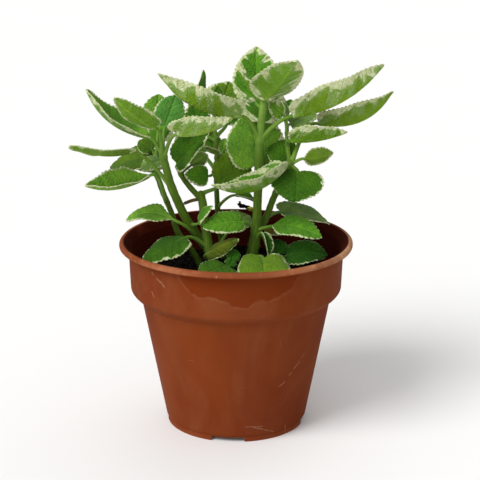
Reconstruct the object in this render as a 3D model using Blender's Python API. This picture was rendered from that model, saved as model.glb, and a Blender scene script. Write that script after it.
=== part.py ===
"""Cuban oregano with cream-edged leaves, growing in a round terracotta-coloured nursery pot.

Run by itself with: blender --background --python part.py

The origin is the middle of the pot's foot, on the surface that it stands on, with +Z up.
Lengths below are millimetres and angles are degrees. The meshes are written in metres.
Each leafy stem is one object: its stem, side branches, stalks and blades are fused.
"""

import math
from typing import NamedTuple

import bpy
import numpy as np

MM = 0.001

# Pot: a thin moulding with a rolled lip, a deep collar, a step and a tapered body
POT_HEIGHT = 122.0
LIP_RADIUS = 75.0
LIP_INNER_RADIUS = 71.3
LIP_DEPTH = 3.8
COLLAR_TOP_RADIUS = 69.1
COLLAR_FOOT_RADIUS = 68.0
COLLAR_FOOT_HEIGHT = 90.6
STEP_HEIGHT = 84.4
BODY_TOP_RADIUS = 61.3
BODY_FOOT_RADIUS = 46.2
WALL = 1.3
POT_FACETS = 48

# Foot: a short ring under the floor, cut by drain notches into four feet
FOOT_HEIGHT = 4.0
FOOT_RADIUS = 45.1
FOOT_WIDTH = 2.2
FLOOR_THICKNESS = 1.6
NOTCH_COUNT = 4
NOTCH_WIDTH = 23.0
NOTCH_HEIGHT = 3.0
NOTCH_FIRST_ANGLE = -97.0
DRAIN_HOLE_RADIUS = 4.5
DRAIN_HOLE_RING_RADIUS = 30.0
DRAIN_HOLE_SIDES = 12

# Soil: fills the pot to the collar and is mounded a little round the stems
SOIL_EDGE_HEIGHT = 96.5
SOIL_MOUND = 4.5
SOIL_WAVE = 0.7
CLEARANCE = 0.35
ROOT_END_HEIGHT = 86.0
HOLE_SIDES = 16

# Plant
BLADE_THICKNESS = 1.0
TOOTH_PITCH = 7.0
TOOTH_DEPTH = 0.13
FEWEST_TEETH = 3
MOST_TEETH = 8
TOOTH_CROWDING = 0.11
BASE_BLUNTNESS = 0.42
TIP_BLUNTNESS = 0.74
LOBE_PLACE = 0.08
LOBE_SPREAD = 0.14
STEM_SIDES = 8
STALK_SIDES = 5
STALK_RADIUS = 0.85
STALK_RADIUS_PER_WIDTH = 0.022
STALK_TAPER = 0.3
STALK_REACH_IN_BLADE = ((0.08, 0.9), (0.18, 0.7))


class Leaf(NamedTuple):
    """One blade with its stalk.

    at is the height on the stem where the stalk leaves it. heel and tip are the two ends of the
    blade's midrib. face is roughly the way its upper side looks. fold lifts each half above the
    midrib, arch raises the middle of the midrib (or lowers it, if negative) and lobe is how far
    the base reaches back past the heel, as a share of the length.
    """

    at: float
    heel: tuple
    tip: tuple
    width: float
    face: tuple = (0.0, -0.4, 1.0)
    fold: float = 15.0
    arch: float = 2.0
    lobe: float = 0.06


class Stem(NamedTuple):
    """A stem or side branch: points on its axis, its radius at each of them, and its leaves."""

    path: tuple
    girth: tuple
    leaves: tuple = ()


TALL_STEM = (
    Stem(
        path=((9, -2, ROOT_END_HEIGHT), (9, -2, 104), (12.9, 0, 127), (13.8, 0, 147),
              (14.7, 0, 175), (15, 0, 187), (16.5, -1, 204), (17.8, -2, 215)),
        girth=(4.0, 4.0, 3.2, 2.7, 2.9, 2.6, 2.1, 1.5),
        leaves=(
            Leaf(108, (17, -23, 115.5), (18, -58, 106), 33, (0, -0.4, 0.9), -4, 2, 0.27),
            Leaf(119, (16.6, -6, 127), (20.4, -14, 114), 11, (0.8, -0.6, 0.2), 40, 1),
            Leaf(118, (19, 8, 123.5), (33, 13, 121), 10, (0, -0.4, 0.9), 20, 1),
            Leaf(127, (4, -8, 135.4), (-21, -16, 133.5), 18, (0, -0.64, 0.77), 6, 2),
            Leaf(127, (23.6, -8, 132.7), (54, -24, 129.4), 20, (0, -0.5, 0.87), 8, 4, -0.08),
            Leaf(163, (14.1, 6, 169.3), (9.8, 28, 199), 38, (0, -0.85, 0.53), 6, 2, 0.1),
            Leaf(187, (3, -8, 204), (-47.5, -22, 233.8), 30, (0, 0.62, 0.79), 34, -9),
            Leaf(187, (35.8, -4, 203.3), (92.5, 2, 235), 32, (0, 0.62, 0.79), 34, -8),
            Leaf(187, (16, 12, 196), (20, 44, 212), 30, (0, -0.3, 0.95), 10, 3),
            Leaf(207, (12.7, 4, 211), (12.7, 18, 243.5), 30, (0, -0.95, 0.3), 8, 1),
            Leaf(212, (18, -6, 214.5), (36.5, -38, 244.5), 32, (0, 0.6, 0.8), 20, -2, 0.04),
            Leaf(208, (14.5, -1, 213), (0.7, 0, 232), 12, (0.8, 0, 0.6), 50, -1),
        ),
    ),
    Stem(
        path=((12.5, 1, 125), (16.8, 4, 130), (20, 6, 136), (23.2, 6, 145), (26.3, 4, 153),
              (30.6, 0, 163), (34.2, -3, 171.5), (34.4, -2.5, 174)),
        girth=(2.0, 2.2, 2.1, 2.0, 2.0, 1.9, 1.9, 1.7),
        leaves=(
            Leaf(134, (30, 16, 135.5), (62, 30, 123.2), 23, (0, -0.3, 0.95), 10, 3, 0.12),
            Leaf(152, (34, 20, 156), (46, 46, 152), 26, (0, -0.3, 0.95), 12, 3),
            Leaf(171, (31.5, -11, 172.7), (-15.3, -37, 167.5), 28, (0, 0.2, 0.98), 45, -10),
            Leaf(171, (38.8, -8, 168.2), (37, -28, 153.7), 34, (0, -0.6, 0.8), 0, 1, 0.14),
            Leaf(171, (43, -2, 175.4), (62, 4, 177.6), 16.5, (0, 0.87, 0.5), 8, -1, -0.06),
            Leaf(172, (36, 1.5, 174.5), (20, 6, 180), 21, (0, -0.8, 0.6), 10, 1),
            Leaf(168, (33.3, 8, 168.5), (19.3, 14, 170), 10, (0, -0.6, 0.8), 10, 1),
            Leaf(172, (52.4, 12, 195), (100.6, 24, 213.7), 29, (0, 0.62, 0.79), 32, -10),
        ),
    ),
    Stem(
        path=((34.2, -3, 171.5), (33, 2, 180), (32.4, 5, 186.5), (32.2, 8, 194.3), (31.2, 9, 200)),
        girth=(1.5, 1.4, 1.2, 1.1, 1.0),
        leaves=(
            Leaf(183, (34.2, -5, 187.6), (69.5, -12, 195), 25, (0, 0.6, 0.8), 30, -2.5),
            Leaf(190, (35, 16, 194), (52.7, 20, 199), 15, (0, -0.6, 0.8), 8, 1),
            Leaf(198, (30, 8, 201.5), (21, 10, 210), 12, (0, -0.9, 0.4), 12, 1),
            Leaf(199, (30.5, 3, 203), (28.4, 5, 211), 9, (0.9, -0.3, 0.3), 25, 1),
            Leaf(199, (33.5, 10, 203), (35, 15, 210), 9, (-0.3, -0.9, 0.3), 15, 1),
        ),
    ),
)

LEFT_STEM = (
    Stem(
        path=((-14, 8, ROOT_END_HEIGHT), (-14, 8, 104), (-18, 6, 112), (-22.6, 4, 119.5),
              (-31.4, -2, 135), (-36.8, -6, 148), (-41.1, -9, 160), (-44.2, -12, 173.7),
              (-46, -13, 182)),
        girth=(2.8, 2.8, 2.8, 2.8, 2.8, 2.75, 2.6, 2.4, 1.9),
        leaves=(
            Leaf(121, (-40.5, -12, 138.5), (-70.3, -5, 135.5), 19, (0, -0.33, 0.94), 8, 5, -0.1),
            Leaf(131, (-23.2, -10, 136), (-14.5, -13, 147.3), 10, (-0.77, -0.37, 0.53), 10, 1),
            Leaf(158, (-66.7, -14, 182.5), (-101, -42, 193), 24, (0, 0.4, 0.9), 10, -3.5),
            Leaf(179, (-55, -16, 192.5), (-91, -28, 225), 26, (0, -0.25, 1), 32, -7),
            Leaf(179, (-36, -20, 195), (-2, -32, 207.6), 27, (0, 0.62, 0.79), 32, -4, 0.18),
            Leaf(181, (-49.4, -30, 201.6), (-72.2, -54, 225.2), 17.5, (0, 0.8, 0.6), 20, -3),
            Leaf(181, (-44.3, -5, 197), (-37.3, 5, 215.5), 20, (0, -0.9, 0.45), 6, 1),
        ),
    ),
)

LEFT_REAR_STEM = (
    Stem(
        path=((-23, 0, ROOT_END_HEIGHT), (-23, 0, 104), (-29, 2, 114), (-37.5, 4, 125),
              (-41, 6, 136), (-45.1, 8, 146), (-48.9, 10, 155), (-50.8, 12, 163), (-52, 13, 171)),
        girth=(2.2, 2.2, 2.0, 1.9, 1.8, 1.7, 1.6, 1.5, 1.3),
        leaves=(
            Leaf(145, (-54.6, -12, 166.7), (-92, -42, 168), 27, (0.22, -0.23, 0.95), 43, -5.5, -0.1),
            Leaf(150, (-54, 26, 160), (-65, 54, 162), 26, (0, -0.2, 1), 12, 3),
            Leaf(163, (-53, 12, 171.5), (-82, 25, 163), 27, (0, -0.4, 0.9), 8, 3),
            Leaf(163, (-48.5, 6, 172), (-60, -4, 168), 12, (0, -0.7, 0.7), 15, 1),
            Leaf(166, (-50, 27, 180), (-58, 56, 194), 24, (0, -0.3, 1), 12, 3),
            Leaf(169, (-54, 15, 177), (-63, 21, 181.5), 12, (0, -0.8, 0.6), 10, 1),
            Leaf(169, (-50, 16, 190), (-50, 28, 211), 23, (0, -0.8, 0.6), 10, 1),
        ),
    ),
)

MIDDLE_STEM = (
    Stem(
        path=((-16, -5, ROOT_END_HEIGHT), (-16, -5, 104), (-18, -3, 120), (-20, 1, 131),
              (-21.3, 6, 143), (-22.8, 9, 150)),
        girth=(3.1, 3.1, 2.9, 2.8, 2.7, 2.2),
        leaves=(
            Leaf(117, (-31.9, -10, 125.7), (-59, -27, 113), 28, (0, -0.1, 1), -5, 2, 0.02),
            Leaf(106, (-18.8, -14, 115.8), (1.9, -18, 127.2), 12, (-0.46, -0.65, 0.6), -25, 1),
            Leaf(107, (-3, 9, 127), (8, 22, 131.5), 20, (0, -0.5, 0.85), 8, 2),
            Leaf(149, (-10, 15, 154), (9, 28, 173), 26, (0, -0.7, 0.7), 8, 2, 0),
        ),
    ),
    Stem(
        path=((-21.8, 7, 146), (-29.6, 9, 154), (-34.6, 8, 161.6), (-37.4, 7, 168.4)),
        girth=(2.0, 1.8, 1.7, 1.5),
        leaves=(
            Leaf(163, (-28.5, 14, 167.5), (-18, 13, 174.7), 13, (0, 0.9, 0.44), 8, 1),
            Leaf(168, (-37.3, 6, 170), (-16.8, -2, 193.6), 27, (-0.62, -0.6, 0.5), 20, 1),
        ),
    ),
    Stem(
        path=((-22, 8, 146.5), (-28, 7.5, 145.5), (-33, 6, 144)),
        girth=(1.2, 1.1, 1.0),
    ),
)

REAR_STEM = (
    Stem(
        path=((-8, 28, ROOT_END_HEIGHT), (-8, 28, 104), (-10.5, 29, 118), (-12.2, 30, 135),
              (-13, 33, 156), (-12.4, 34, 168.6), (-13.7, 37, 185), (-14.3, 40, 200)),
        girth=(2.0, 2.0, 1.8, 1.7, 1.6, 1.5, 1.3, 1.1),
        leaves=(
            Leaf(135, (0, 26, 144), (13, 30, 138), 12, (0, -0.3, 1), 30, 1),
            Leaf(157, (-18.5, 16, 159.5), (-33, 3, 163.5), 14, (0.7, -0.7, 0.2), 8, 1),
            Leaf(158, (-22, 46, 168), (-36, 69, 175), 28, (0, -0.2, 1), 12, 3),
            Leaf(158, (-2, 44, 164), (9, 69, 167), 28, (0, -0.2, 1), 12, 3),
            Leaf(168, (-11.7, 28, 171), (-20.5, 16, 179.4), 9, (0, 0.28, 0.96), 10, 0),
            Leaf(168, (-14, 37, 171), (-17, 42, 184), 12, (0, -0.95, 0.3), 10, 1),
            Leaf(168, (-8.5, 34, 172), (-7, 40, 179), 8, (0, -0.9, 0.4), 10, 1),
            Leaf(178, (-23, 37, 184), (-28.6, 36, 205.5), 18, (0, -0.9, 0.45), 8, 1),
            Leaf(180, (-6, 48, 187), (4, 70, 198), 26, (0, -0.2, 1), 12, 3),
            Leaf(194, (-10, 42, 198), (-4, 50, 215), 27, (0, -0.8, 0.6), 8, 1),
            Leaf(197, (-25.5, 44, 205), (-21.2, 52, 222.5), 12, (1, -0.35, 0.2), 8, 1),
            Leaf(197, (-12, 37, 204), (-11.7, 39, 214.5), 7, (0, -0.9, 0.3), 8, 0),
        ),
    ),
)

RIGHT_SHOOT = (
    Stem(
        path=((31, 3, ROOT_END_HEIGHT), (31, 3, 104), (31, 3, 109)),
        girth=(1.6, 1.6, 1.2),
        leaves=(
            Leaf(106, (33, 0, 110.5), (59, -4, 112), 22, (0, -0.5, 0.86), 6, 3),
            Leaf(107, (27, 6, 110), (27.5, 12, 118), 14, (0, -0.9, 0.4), 8, 1),
        ),
    ),
)

FRONT_SHOOT = (
    Stem(
        path=((-5, -19, ROOT_END_HEIGHT), (-5, -19, 104), (-5, -19, 108)),
        girth=(1.5, 1.5, 1.1),
        leaves=(
            Leaf(105, (-5, -25, 111), (-22, -46.5, 110), 22, (0, -0.4, 0.9), 2, 2),
            Leaf(106, (-3, -17, 113), (0.5, -12, 118), 9, (0, -0.9, 0.4), 10, 1),
            Leaf(106, (-4, -22, 110.5), (-2, -20, 115), 8, (0, -0.9, 0.4), 10, 0),
        ),
    ),
)

PLANTS = {
    "stem_tall": TALL_STEM,
    "stem_left": LEFT_STEM,
    "stem_left_rear": LEFT_REAR_STEM,
    "stem_middle": MIDDLE_STEM,
    "stem_rear": REAR_STEM,
    "shoot_right": RIGHT_SHOOT,
    "shoot_front": FRONT_SHOOT,
}


def clear_scene():
    """Remove every object that the file holds."""
    for old in list(bpy.data.objects):
        bpy.data.objects.remove(old, do_unlink=True)


def material(name, colour, roughness, metallic=0.0):
    """Make a material with one base colour, a roughness and a metallic value."""
    finish = bpy.data.materials.new(name)
    finish.use_nodes = True
    shader = finish.node_tree.nodes["Principled BSDF"]
    shader.inputs["Base Color"].default_value = (*colour, 1.0)
    shader.inputs["Roughness"].default_value = roughness
    shader.inputs["Metallic"].default_value = metallic
    return finish


def solid(name, points, faces, finish, collection=None):
    """Make a mesh object from points in millimetres and faces that look outward."""
    mesh = bpy.data.meshes.new(name)
    mesh.from_pydata([tuple(float(value) * MM for value in point) for point in points], [], faces)
    mesh.materials.append(finish)
    mesh.validate()
    mesh.shade_smooth()
    mesh.set_sharp_from_angle(angle=math.radians(40))
    made = bpy.data.objects.new(name, mesh)
    (collection or bpy.context.scene.collection).objects.link(made)
    return made


def unit(vector):
    """Return a vector at length one."""
    vector = np.asarray(vector, dtype=float)
    return vector / np.linalg.norm(vector)


def curve_through(points, per_span):
    """Return points on a smooth curve that passes through the given points."""
    fixed = [np.asarray(point, dtype=float) for point in points]
    ends = [2 * fixed[0] - fixed[1]] + fixed + [2 * fixed[-1] - fixed[-2]]
    found = []
    for a, b, c, d in zip(ends, ends[1:], ends[2:], ends[3:]):
        for step in range(per_span):
            t = step / per_span
            found.append(
                b + (c - a) * t / 2
                + (2 * a - 5 * b + 4 * c - d) * t**2 / 2
                + (3 * b - a - 3 * c + d) * t**3 / 2
            )
    return found + [fixed[-1]]


def tube(path, radii, sides):
    """Return the points and faces of a closed tube along a path."""
    path = [np.asarray(point, dtype=float) for point in path]
    last = len(path) - 1
    along = [unit(path[min(i + 1, last)] - path[max(i - 1, 0)]) for i in range(last + 1)]
    across = unit(np.cross(along[0], (0.31, 0.95, 0.02)))
    points = []
    for centre, radius, forward in zip(path, radii, along):
        across = unit(across - forward * np.dot(across, forward))
        other = np.cross(forward, across)
        for side in range(sides):
            turn = 2 * math.pi * side / sides
            points.append(centre + radius * (math.cos(turn) * across + math.sin(turn) * other))
    faces = [tuple(range(sides))[::-1], tuple(last * sides + side for side in range(sides))]
    for ring in range(last):
        for side in range(sides):
            after = (side + 1) % sides
            low, high = ring * sides, (ring + 1) * sides
            faces.append((low + side, low + after, high + after, high + side))
    return points, faces


def revolve(profile, facets):
    """Return the points and faces of a closed profile turned round the Z axis.

    The profile runs from a point on the axis, up and round the outside, to another on the axis.
    """
    points = [(0.0, 0.0, profile[0][1]), (0.0, 0.0, profile[-1][1])]
    rings = profile[1:-1]
    for radius, height in rings:
        for facet in range(facets):
            turn = 2 * math.pi * facet / facets
            points.append((radius * math.cos(turn), radius * math.sin(turn), height))
    faces = []
    top = 2 + (len(rings) - 1) * facets
    for facet in range(facets):
        after = (facet + 1) % facets
        faces.append((0, 2 + after, 2 + facet))
        faces.append((1, top + facet, top + after))
        for ring in range(len(rings) - 1):
            low, high = 2 + ring * facets, 2 + (ring + 1) * facets
            faces.append((low + facet, low + after, high + after, high + facet))
    return points, faces


def cut(target, points, faces):
    """Cut a closed shape out of an object and leave no cutter behind."""
    cutter = solid("cutter", points, faces, target.data.materials[0])
    cutter.hide_render = True
    cutter.display_type = "WIRE"
    boolean = target.modifiers.new("cut", "BOOLEAN")
    boolean.operation = "DIFFERENCE"
    boolean.solver = "EXACT"
    boolean.object = cutter
    apply_modifiers(target)
    bpy.data.objects.remove(cutter, do_unlink=True)


def apply_modifiers(target):
    """Write an object's evaluated mesh back to it and drop its modifiers."""
    bpy.context.view_layer.update()
    evaluated = target.evaluated_get(bpy.context.evaluated_depsgraph_get())
    mesh = bpy.data.meshes.new_from_object(evaluated)
    target.modifiers.clear()
    target.data = mesh


def box(centre, size, turn):
    """Return the points and faces of a box turned about the Z axis."""
    points = []
    for corner in range(8):
        x = (corner & 1) * size[0] - size[0] / 2
        y = (corner >> 1 & 1) * size[1] - size[1] / 2
        z = (corner >> 2 & 1) * size[2] - size[2] / 2
        points.append((
            centre[0] + x * math.cos(turn) - y * math.sin(turn),
            centre[1] + x * math.sin(turn) + y * math.cos(turn),
            centre[2] + z,
        ))
    faces = [(0, 2, 3, 1), (4, 5, 7, 6), (0, 1, 5, 4), (2, 6, 7, 3), (0, 4, 6, 2), (1, 3, 7, 5)]
    return points, faces


def wall_outline():
    """Return the pot's outer and inner wall, from the foot up to the lip."""
    step = BODY_TOP_RADIUS, STEP_HEIGHT
    outer = [
        (FOOT_RADIUS, FOOT_HEIGHT),
        (BODY_FOOT_RADIUS - 0.5, FOOT_HEIGHT + 0.4),
        (BODY_FOOT_RADIUS, FOOT_HEIGHT + 1.6),
        step,
        (step[0] + 2.8, step[1] + 1.8),
        (step[0] + 5.4, step[1] + 4.2),
        (COLLAR_FOOT_RADIUS, COLLAR_FOOT_HEIGHT),
        (COLLAR_TOP_RADIUS, POT_HEIGHT - LIP_DEPTH - 1.6),
        (COLLAR_TOP_RADIUS + 1.4, POT_HEIGHT - LIP_DEPTH),
        (LIP_RADIUS - 0.7, POT_HEIGHT - LIP_DEPTH),
        (LIP_RADIUS, POT_HEIGHT - LIP_DEPTH + 0.8),
        (LIP_RADIUS, POT_HEIGHT - 1.3),
        (LIP_RADIUS - 1.0, POT_HEIGHT - 0.2),
    ]
    inner = [
        (BODY_FOOT_RADIUS - WALL, FOOT_HEIGHT + FLOOR_THICKNESS),
        (step[0] - WALL, step[1] + 0.2),
        (step[0] + 2.0, step[1] + 3.0),
        (step[0] + 4.3, step[1] + 5.2),
        (COLLAR_FOOT_RADIUS - WALL, COLLAR_FOOT_HEIGHT + 0.9),
        (COLLAR_TOP_RADIUS - WALL, POT_HEIGHT - LIP_DEPTH - 1.0),
        (LIP_INNER_RADIUS, POT_HEIGHT - 0.9),
        (LIP_INNER_RADIUS + 1.3, POT_HEIGHT),
    ]
    return outer, inner


def build_pot():
    """Build the pot with its feet, drain notches and drain holes."""
    finish = material("terracotta_plastic", (0.36, 0.105, 0.045), 0.48)
    outer, inner = wall_outline()
    foot_inner = FOOT_RADIUS - FOOT_WIDTH
    profile = [(0, FOOT_HEIGHT), (foot_inner, FOOT_HEIGHT), (foot_inner, 0), (FOOT_RADIUS, 0)]
    profile += outer + inner[::-1] + [(0, FOOT_HEIGHT + FLOOR_THICKNESS)]
    pot = solid("pot", *revolve(profile, POT_FACETS), finish)
    for notch in range(NOTCH_COUNT):
        angle = math.radians(NOTCH_FIRST_ANGLE + 360 / NOTCH_COUNT * notch)
        middle = FOOT_RADIUS - FOOT_WIDTH / 2
        centre = (middle * math.cos(angle), middle * math.sin(angle), 0)
        cut(pot, *box(centre, (4 * FOOT_WIDTH, NOTCH_WIDTH, 2 * NOTCH_HEIGHT), angle))
        centre = np.array((math.cos(angle), math.sin(angle), 0)) * DRAIN_HOLE_RING_RADIUS
        drill(pot, centre, DRAIN_HOLE_RADIUS, FOOT_HEIGHT - 1, FOOT_HEIGHT + FLOOR_THICKNESS + 1)
    return pot


def drill(target, centre, radius, low, high, sides=DRAIN_HOLE_SIDES):
    """Cut an upright round hole through an object."""
    ends = [(centre[0], centre[1], low), (centre[0], centre[1], high)]
    cut(target, *tube(ends, (radius, radius), sides))


def soil_height(radius):
    """Return the height of the soil's surface at a distance from the axis."""
    edge = BODY_TOP_RADIUS
    mound = SOIL_MOUND * (1 - min(radius / edge, 1) ** 2)
    return SOIL_EDGE_HEIGHT + mound + SOIL_WAVE * math.sin(radius / 5)


def build_soil():
    """Build the soil, clear of the pot all round, with a plain hole for each stem's root."""
    finish = material("growing_mix", (0.018, 0.013, 0.010), 0.95)
    wall = wall_outline()[1]
    collar_low, collar_high = wall[4], wall[5]
    share = (SOIL_EDGE_HEIGHT - collar_low[1]) / (collar_high[1] - collar_low[1])
    edge = collar_low[0] + share * (collar_high[0] - collar_low[0])
    profile = [(0, wall[0][1] + CLEARANCE), (wall[0][0] - 2 * CLEARANCE, wall[0][1] + CLEARANCE)]
    profile += [(radius - CLEARANCE, height + CLEARANCE) for radius, height in wall[1:5]]
    profile.append((edge - CLEARANCE, SOIL_EDGE_HEIGHT))
    profile += [(radius, soil_height(radius)) for radius in (56, 42, 28, 14)]
    profile.append((0, soil_height(0)))
    soil = solid("soil", *revolve(profile, POT_FACETS), finish)
    for stems in PLANTS.values():
        root = stems[0].path[0]
        radius = (stems[0].girth[0] + CLEARANCE) / math.cos(math.pi / HOLE_SIDES)
        high = SOIL_EDGE_HEIGHT + 2 * SOIL_MOUND
        drill(soil, root, radius, ROOT_END_HEIGHT - CLEARANCE, high, HOLE_SIDES)
    return soil


class Blade:
    """The form of one blade: a midrib curve, two folded halves and a crenate margin."""

    def __init__(self, leaf):
        self.leaf = leaf
        self.heel = np.asarray(leaf.heel, dtype=float)
        chord = np.asarray(leaf.tip, dtype=float) - self.heel
        self.length = float(np.linalg.norm(chord))
        self.forward = chord / self.length
        face = np.asarray(leaf.face, dtype=float)
        self.up = unit(face - self.forward * np.dot(face, self.forward))
        self.side = np.cross(self.forward, self.up)
        self.fold = math.radians(leaf.fold)
        self.teeth = int(min(max(round(self.length / TOOTH_PITCH), FEWEST_TEETH), MOST_TEETH))
        peak = BASE_BLUNTNESS / (BASE_BLUNTNESS + TIP_BLUNTNESS)
        self.broadest = peak**BASE_BLUNTNESS * (1 - peak) ** TIP_BLUNTNESS

    def midrib(self, u):
        """Return the midrib's point at share u of the length."""
        rise = self.leaf.arch * 4 * u * (1 - u)
        return self.heel + self.forward * self.length * u + self.up * rise

    def normal(self, u):
        """Return the way the upper side looks at the midrib."""
        slope = self.leaf.arch * 4 * (1 - 2 * u) / self.length
        return unit(self.up - self.forward * slope)

    def half_width(self, u):
        """Return the blade's plain half width, without its teeth."""
        outline = u**BASE_BLUNTNESS * (1 - u) ** TIP_BLUNTNESS
        return self.leaf.width / 2 * outline / self.broadest

    def along(self, step):
        """Return the share of the length at a step, closer together at both ends of the blade."""
        t = step / (2 * self.teeth)
        return t - TOOTH_CROWDING * math.sin(2 * math.pi * t)

    def margin(self, step, hand):
        """Return a margin point and the upper side's direction there.

        Even steps are the notches between the teeth and odd steps are the teeth. hand is 1 on
        the right of the midrib and -1 on the left.
        """
        u = self.along(step)
        reach = self.half_width(u) * (1 - (TOOTH_DEPTH if step % 2 == 0 else 0))
        back = self.leaf.lobe * self.length * math.exp(-((u - LOBE_PLACE) / LOBE_SPREAD) ** 2)
        up = self.normal(u)
        outward = self.side * hand * math.cos(self.fold) + up * math.sin(self.fold)
        look = up * math.cos(self.fold) - self.side * hand * math.sin(self.fold)
        return self.midrib(u) + outward * reach - self.forward * back, look

    def mesh(self):
        """Return the points and faces of the blade as a thin closed solid."""
        steps = 2 * self.teeth
        skin = BLADE_THICKNESS / 2
        points = []

        def add(centre, offset):
            points.extend((centre + offset, centre - offset))
            return len(points) - 2

        middle = []
        for tooth in range(self.teeth + 1):
            u = self.along(2 * tooth)
            middle.append(add(self.midrib(u), self.normal(u) * skin / math.cos(self.fold)))
        faces = []
        for hand in (1, -1):
            edge = [middle[0]]
            for step in range(1, steps):
                centre, look = self.margin(step, hand)
                edge.append(add(centre, look * skin))
            edge.append(middle[-1])
            upper = []
            for tooth in range(self.teeth):
                a, b = middle[tooth], middle[tooth + 1]
                p, q, r = edge[2 * tooth : 2 * tooth + 3]
                upper.append((a, q, b))
                if p != a:
                    upper.append((a, p, q))
                if r != b:
                    upper.append((b, q, r))
            lower = [(i + 1, k + 1, j + 1) for i, j, k in upper]
            rim = []
            for p, q in zip(edge, edge[1:]):
                rim += [(p + 1, q + 1, q), (p + 1, q, p)]
            half = upper + lower + rim
            faces += half if hand == 1 else [face[::-1] for face in half]
        return points, faces

    def stalk(self, start):
        """Return the points and faces of the stalk, from the stem to well inside the blade."""
        root = STALK_RADIUS + STALK_RADIUS_PER_WIDTH * self.leaf.width
        way = self.heel - start
        reach = float(np.linalg.norm(way))
        arrive = unit(self.midrib(0.05) - self.heel)
        leave = start + 0.3 * way + np.array((0, 0, 0.08 * reach))
        enter = self.heel - 0.3 * reach * arrive
        path = []
        radii = []
        for t in (0.0, 0.33, 0.67, 1.0):
            path.append(
                start * (1 - t) ** 3 + leave * 3 * t * (1 - t) ** 2
                + enter * 3 * t**2 * (1 - t) + self.heel * t**3
            )
            radii.append(root * (1 - STALK_TAPER * t))
        for u, radius in STALK_REACH_IN_BLADE:
            path.append(self.midrib(u) - self.normal(u) * 0.1)
            radii.append(radius)
        return tube(path, radii, STALK_SIDES)


def height_on(path, height):
    """Return the point of a rising path at a height."""
    for low, high in zip(path, path[1:]):
        if low[2] <= height <= high[2]:
            share = (height - low[2]) / (high[2] - low[2])
            return low + (high - low) * share
    return path[-1]


def plant_solids(stems):
    """Yield the points and faces of every solid that a leafy stem is fused from."""
    for stem in stems:
        rooted = stem.path[0][2] == ROOT_END_HEIGHT
        rising = stem.path[1:] if rooted else stem.path
        girth = stem.girth[1:] if rooted else stem.girth
        path = curve_through(rising, 2)
        radii = [value[0] for value in curve_through([(radius,) for radius in girth], 2)]
        if rooted:
            path.insert(0, np.asarray(stem.path[0], dtype=float))
            radii.insert(0, stem.girth[0])
        yield tube(path, radii, STEM_SIDES)
        for leaf in stem.leaves:
            blade = Blade(leaf)
            yield blade.stalk(height_on(path, leaf.at))
            yield blade.mesh()


def build_plant(name, stems, finish):
    """Build one leafy stem and fuse its stems, stalks and blades into one solid."""
    repeats = bpy.data.collections.new(name + "_repeats")
    bpy.context.scene.collection.children.link(repeats)
    parts = list(plant_solids(stems))
    plant = solid(name, *parts[0], finish)
    for number, (points, faces) in enumerate(parts[1:]):
        solid(f"{name}_repeat_{number}", points, faces, finish, repeats)
    union = plant.modifiers.new("union", "BOOLEAN")
    union.operation = "UNION"
    union.operand_type = "COLLECTION"
    union.collection = repeats
    union.solver = "EXACT"
    apply_modifiers(plant)
    for repeat in list(repeats.objects):
        bpy.data.objects.remove(repeat, do_unlink=True)
    bpy.data.collections.remove(repeats)
    return plant


def main():
    """Build the pot, the soil and every leafy stem."""
    clear_scene()
    build_pot()
    build_soil()
    leaf_green = material("leaf_green", (0.12, 0.27, 0.045), 0.55)
    for name, stems in PLANTS.items():
        build_plant(name, stems, leaf_green)


if __name__ == "__main__":
    main()
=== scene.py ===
"""Looks of a potted cuban oregano.

It has cream-edged, velvety leaves on downy stems, in a terracotta-coloured nursery pot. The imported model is
the fixed frame. It has the pot, its soil and seven leafy stems, and each of them is replaced here by finer
pieces of the same form in the same place. Lengths are millimetres and angles are degrees, and the meshes
are written in metres. The origin is the middle of the pot's foot, with +Z up.
"""

import logging
import math
from dataclasses import dataclass
from enum import Enum
from typing import Dict, List, Optional, Sequence, Tuple

import bpy
import numpy as np
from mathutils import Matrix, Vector, noise
from mathutils.kdtree import KDTree


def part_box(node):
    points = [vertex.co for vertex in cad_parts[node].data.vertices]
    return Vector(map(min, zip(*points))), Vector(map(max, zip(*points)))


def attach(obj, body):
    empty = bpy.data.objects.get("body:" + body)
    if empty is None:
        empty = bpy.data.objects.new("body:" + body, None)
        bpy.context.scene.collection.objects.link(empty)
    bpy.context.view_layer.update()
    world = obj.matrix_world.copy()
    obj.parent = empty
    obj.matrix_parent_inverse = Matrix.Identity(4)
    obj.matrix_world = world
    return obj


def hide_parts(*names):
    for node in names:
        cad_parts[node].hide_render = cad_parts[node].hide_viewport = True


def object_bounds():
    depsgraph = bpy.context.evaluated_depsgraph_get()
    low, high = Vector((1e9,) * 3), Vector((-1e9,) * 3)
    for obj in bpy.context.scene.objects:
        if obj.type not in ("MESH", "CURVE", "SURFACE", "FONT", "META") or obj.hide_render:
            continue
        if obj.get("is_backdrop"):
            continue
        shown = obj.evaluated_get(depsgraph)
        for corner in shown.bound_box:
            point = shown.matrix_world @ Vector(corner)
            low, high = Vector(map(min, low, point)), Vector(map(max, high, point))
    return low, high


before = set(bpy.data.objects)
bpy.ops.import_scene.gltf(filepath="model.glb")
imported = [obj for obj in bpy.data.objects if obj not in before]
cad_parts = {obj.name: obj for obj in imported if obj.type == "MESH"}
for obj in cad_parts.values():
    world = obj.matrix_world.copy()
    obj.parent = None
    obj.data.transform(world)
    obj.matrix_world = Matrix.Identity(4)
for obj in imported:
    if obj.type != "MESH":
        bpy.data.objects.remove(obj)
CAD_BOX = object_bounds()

LOG = logging.getLogger("potted_oregano")
MM = 0.001
BODY = "root"

Array = np.ndarray
Grid = Dict[str, Array]
Pair = Tuple[float, float]
Point = Tuple[float, float, float]
Colour = Tuple[float, float, float]
Socket = bpy.types.NodeSocket
Material = bpy.types.Material
Piece = bpy.types.Object

# A full turn in radians, to two places, for waves that start at random
FULL_TURN = 6.28


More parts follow.
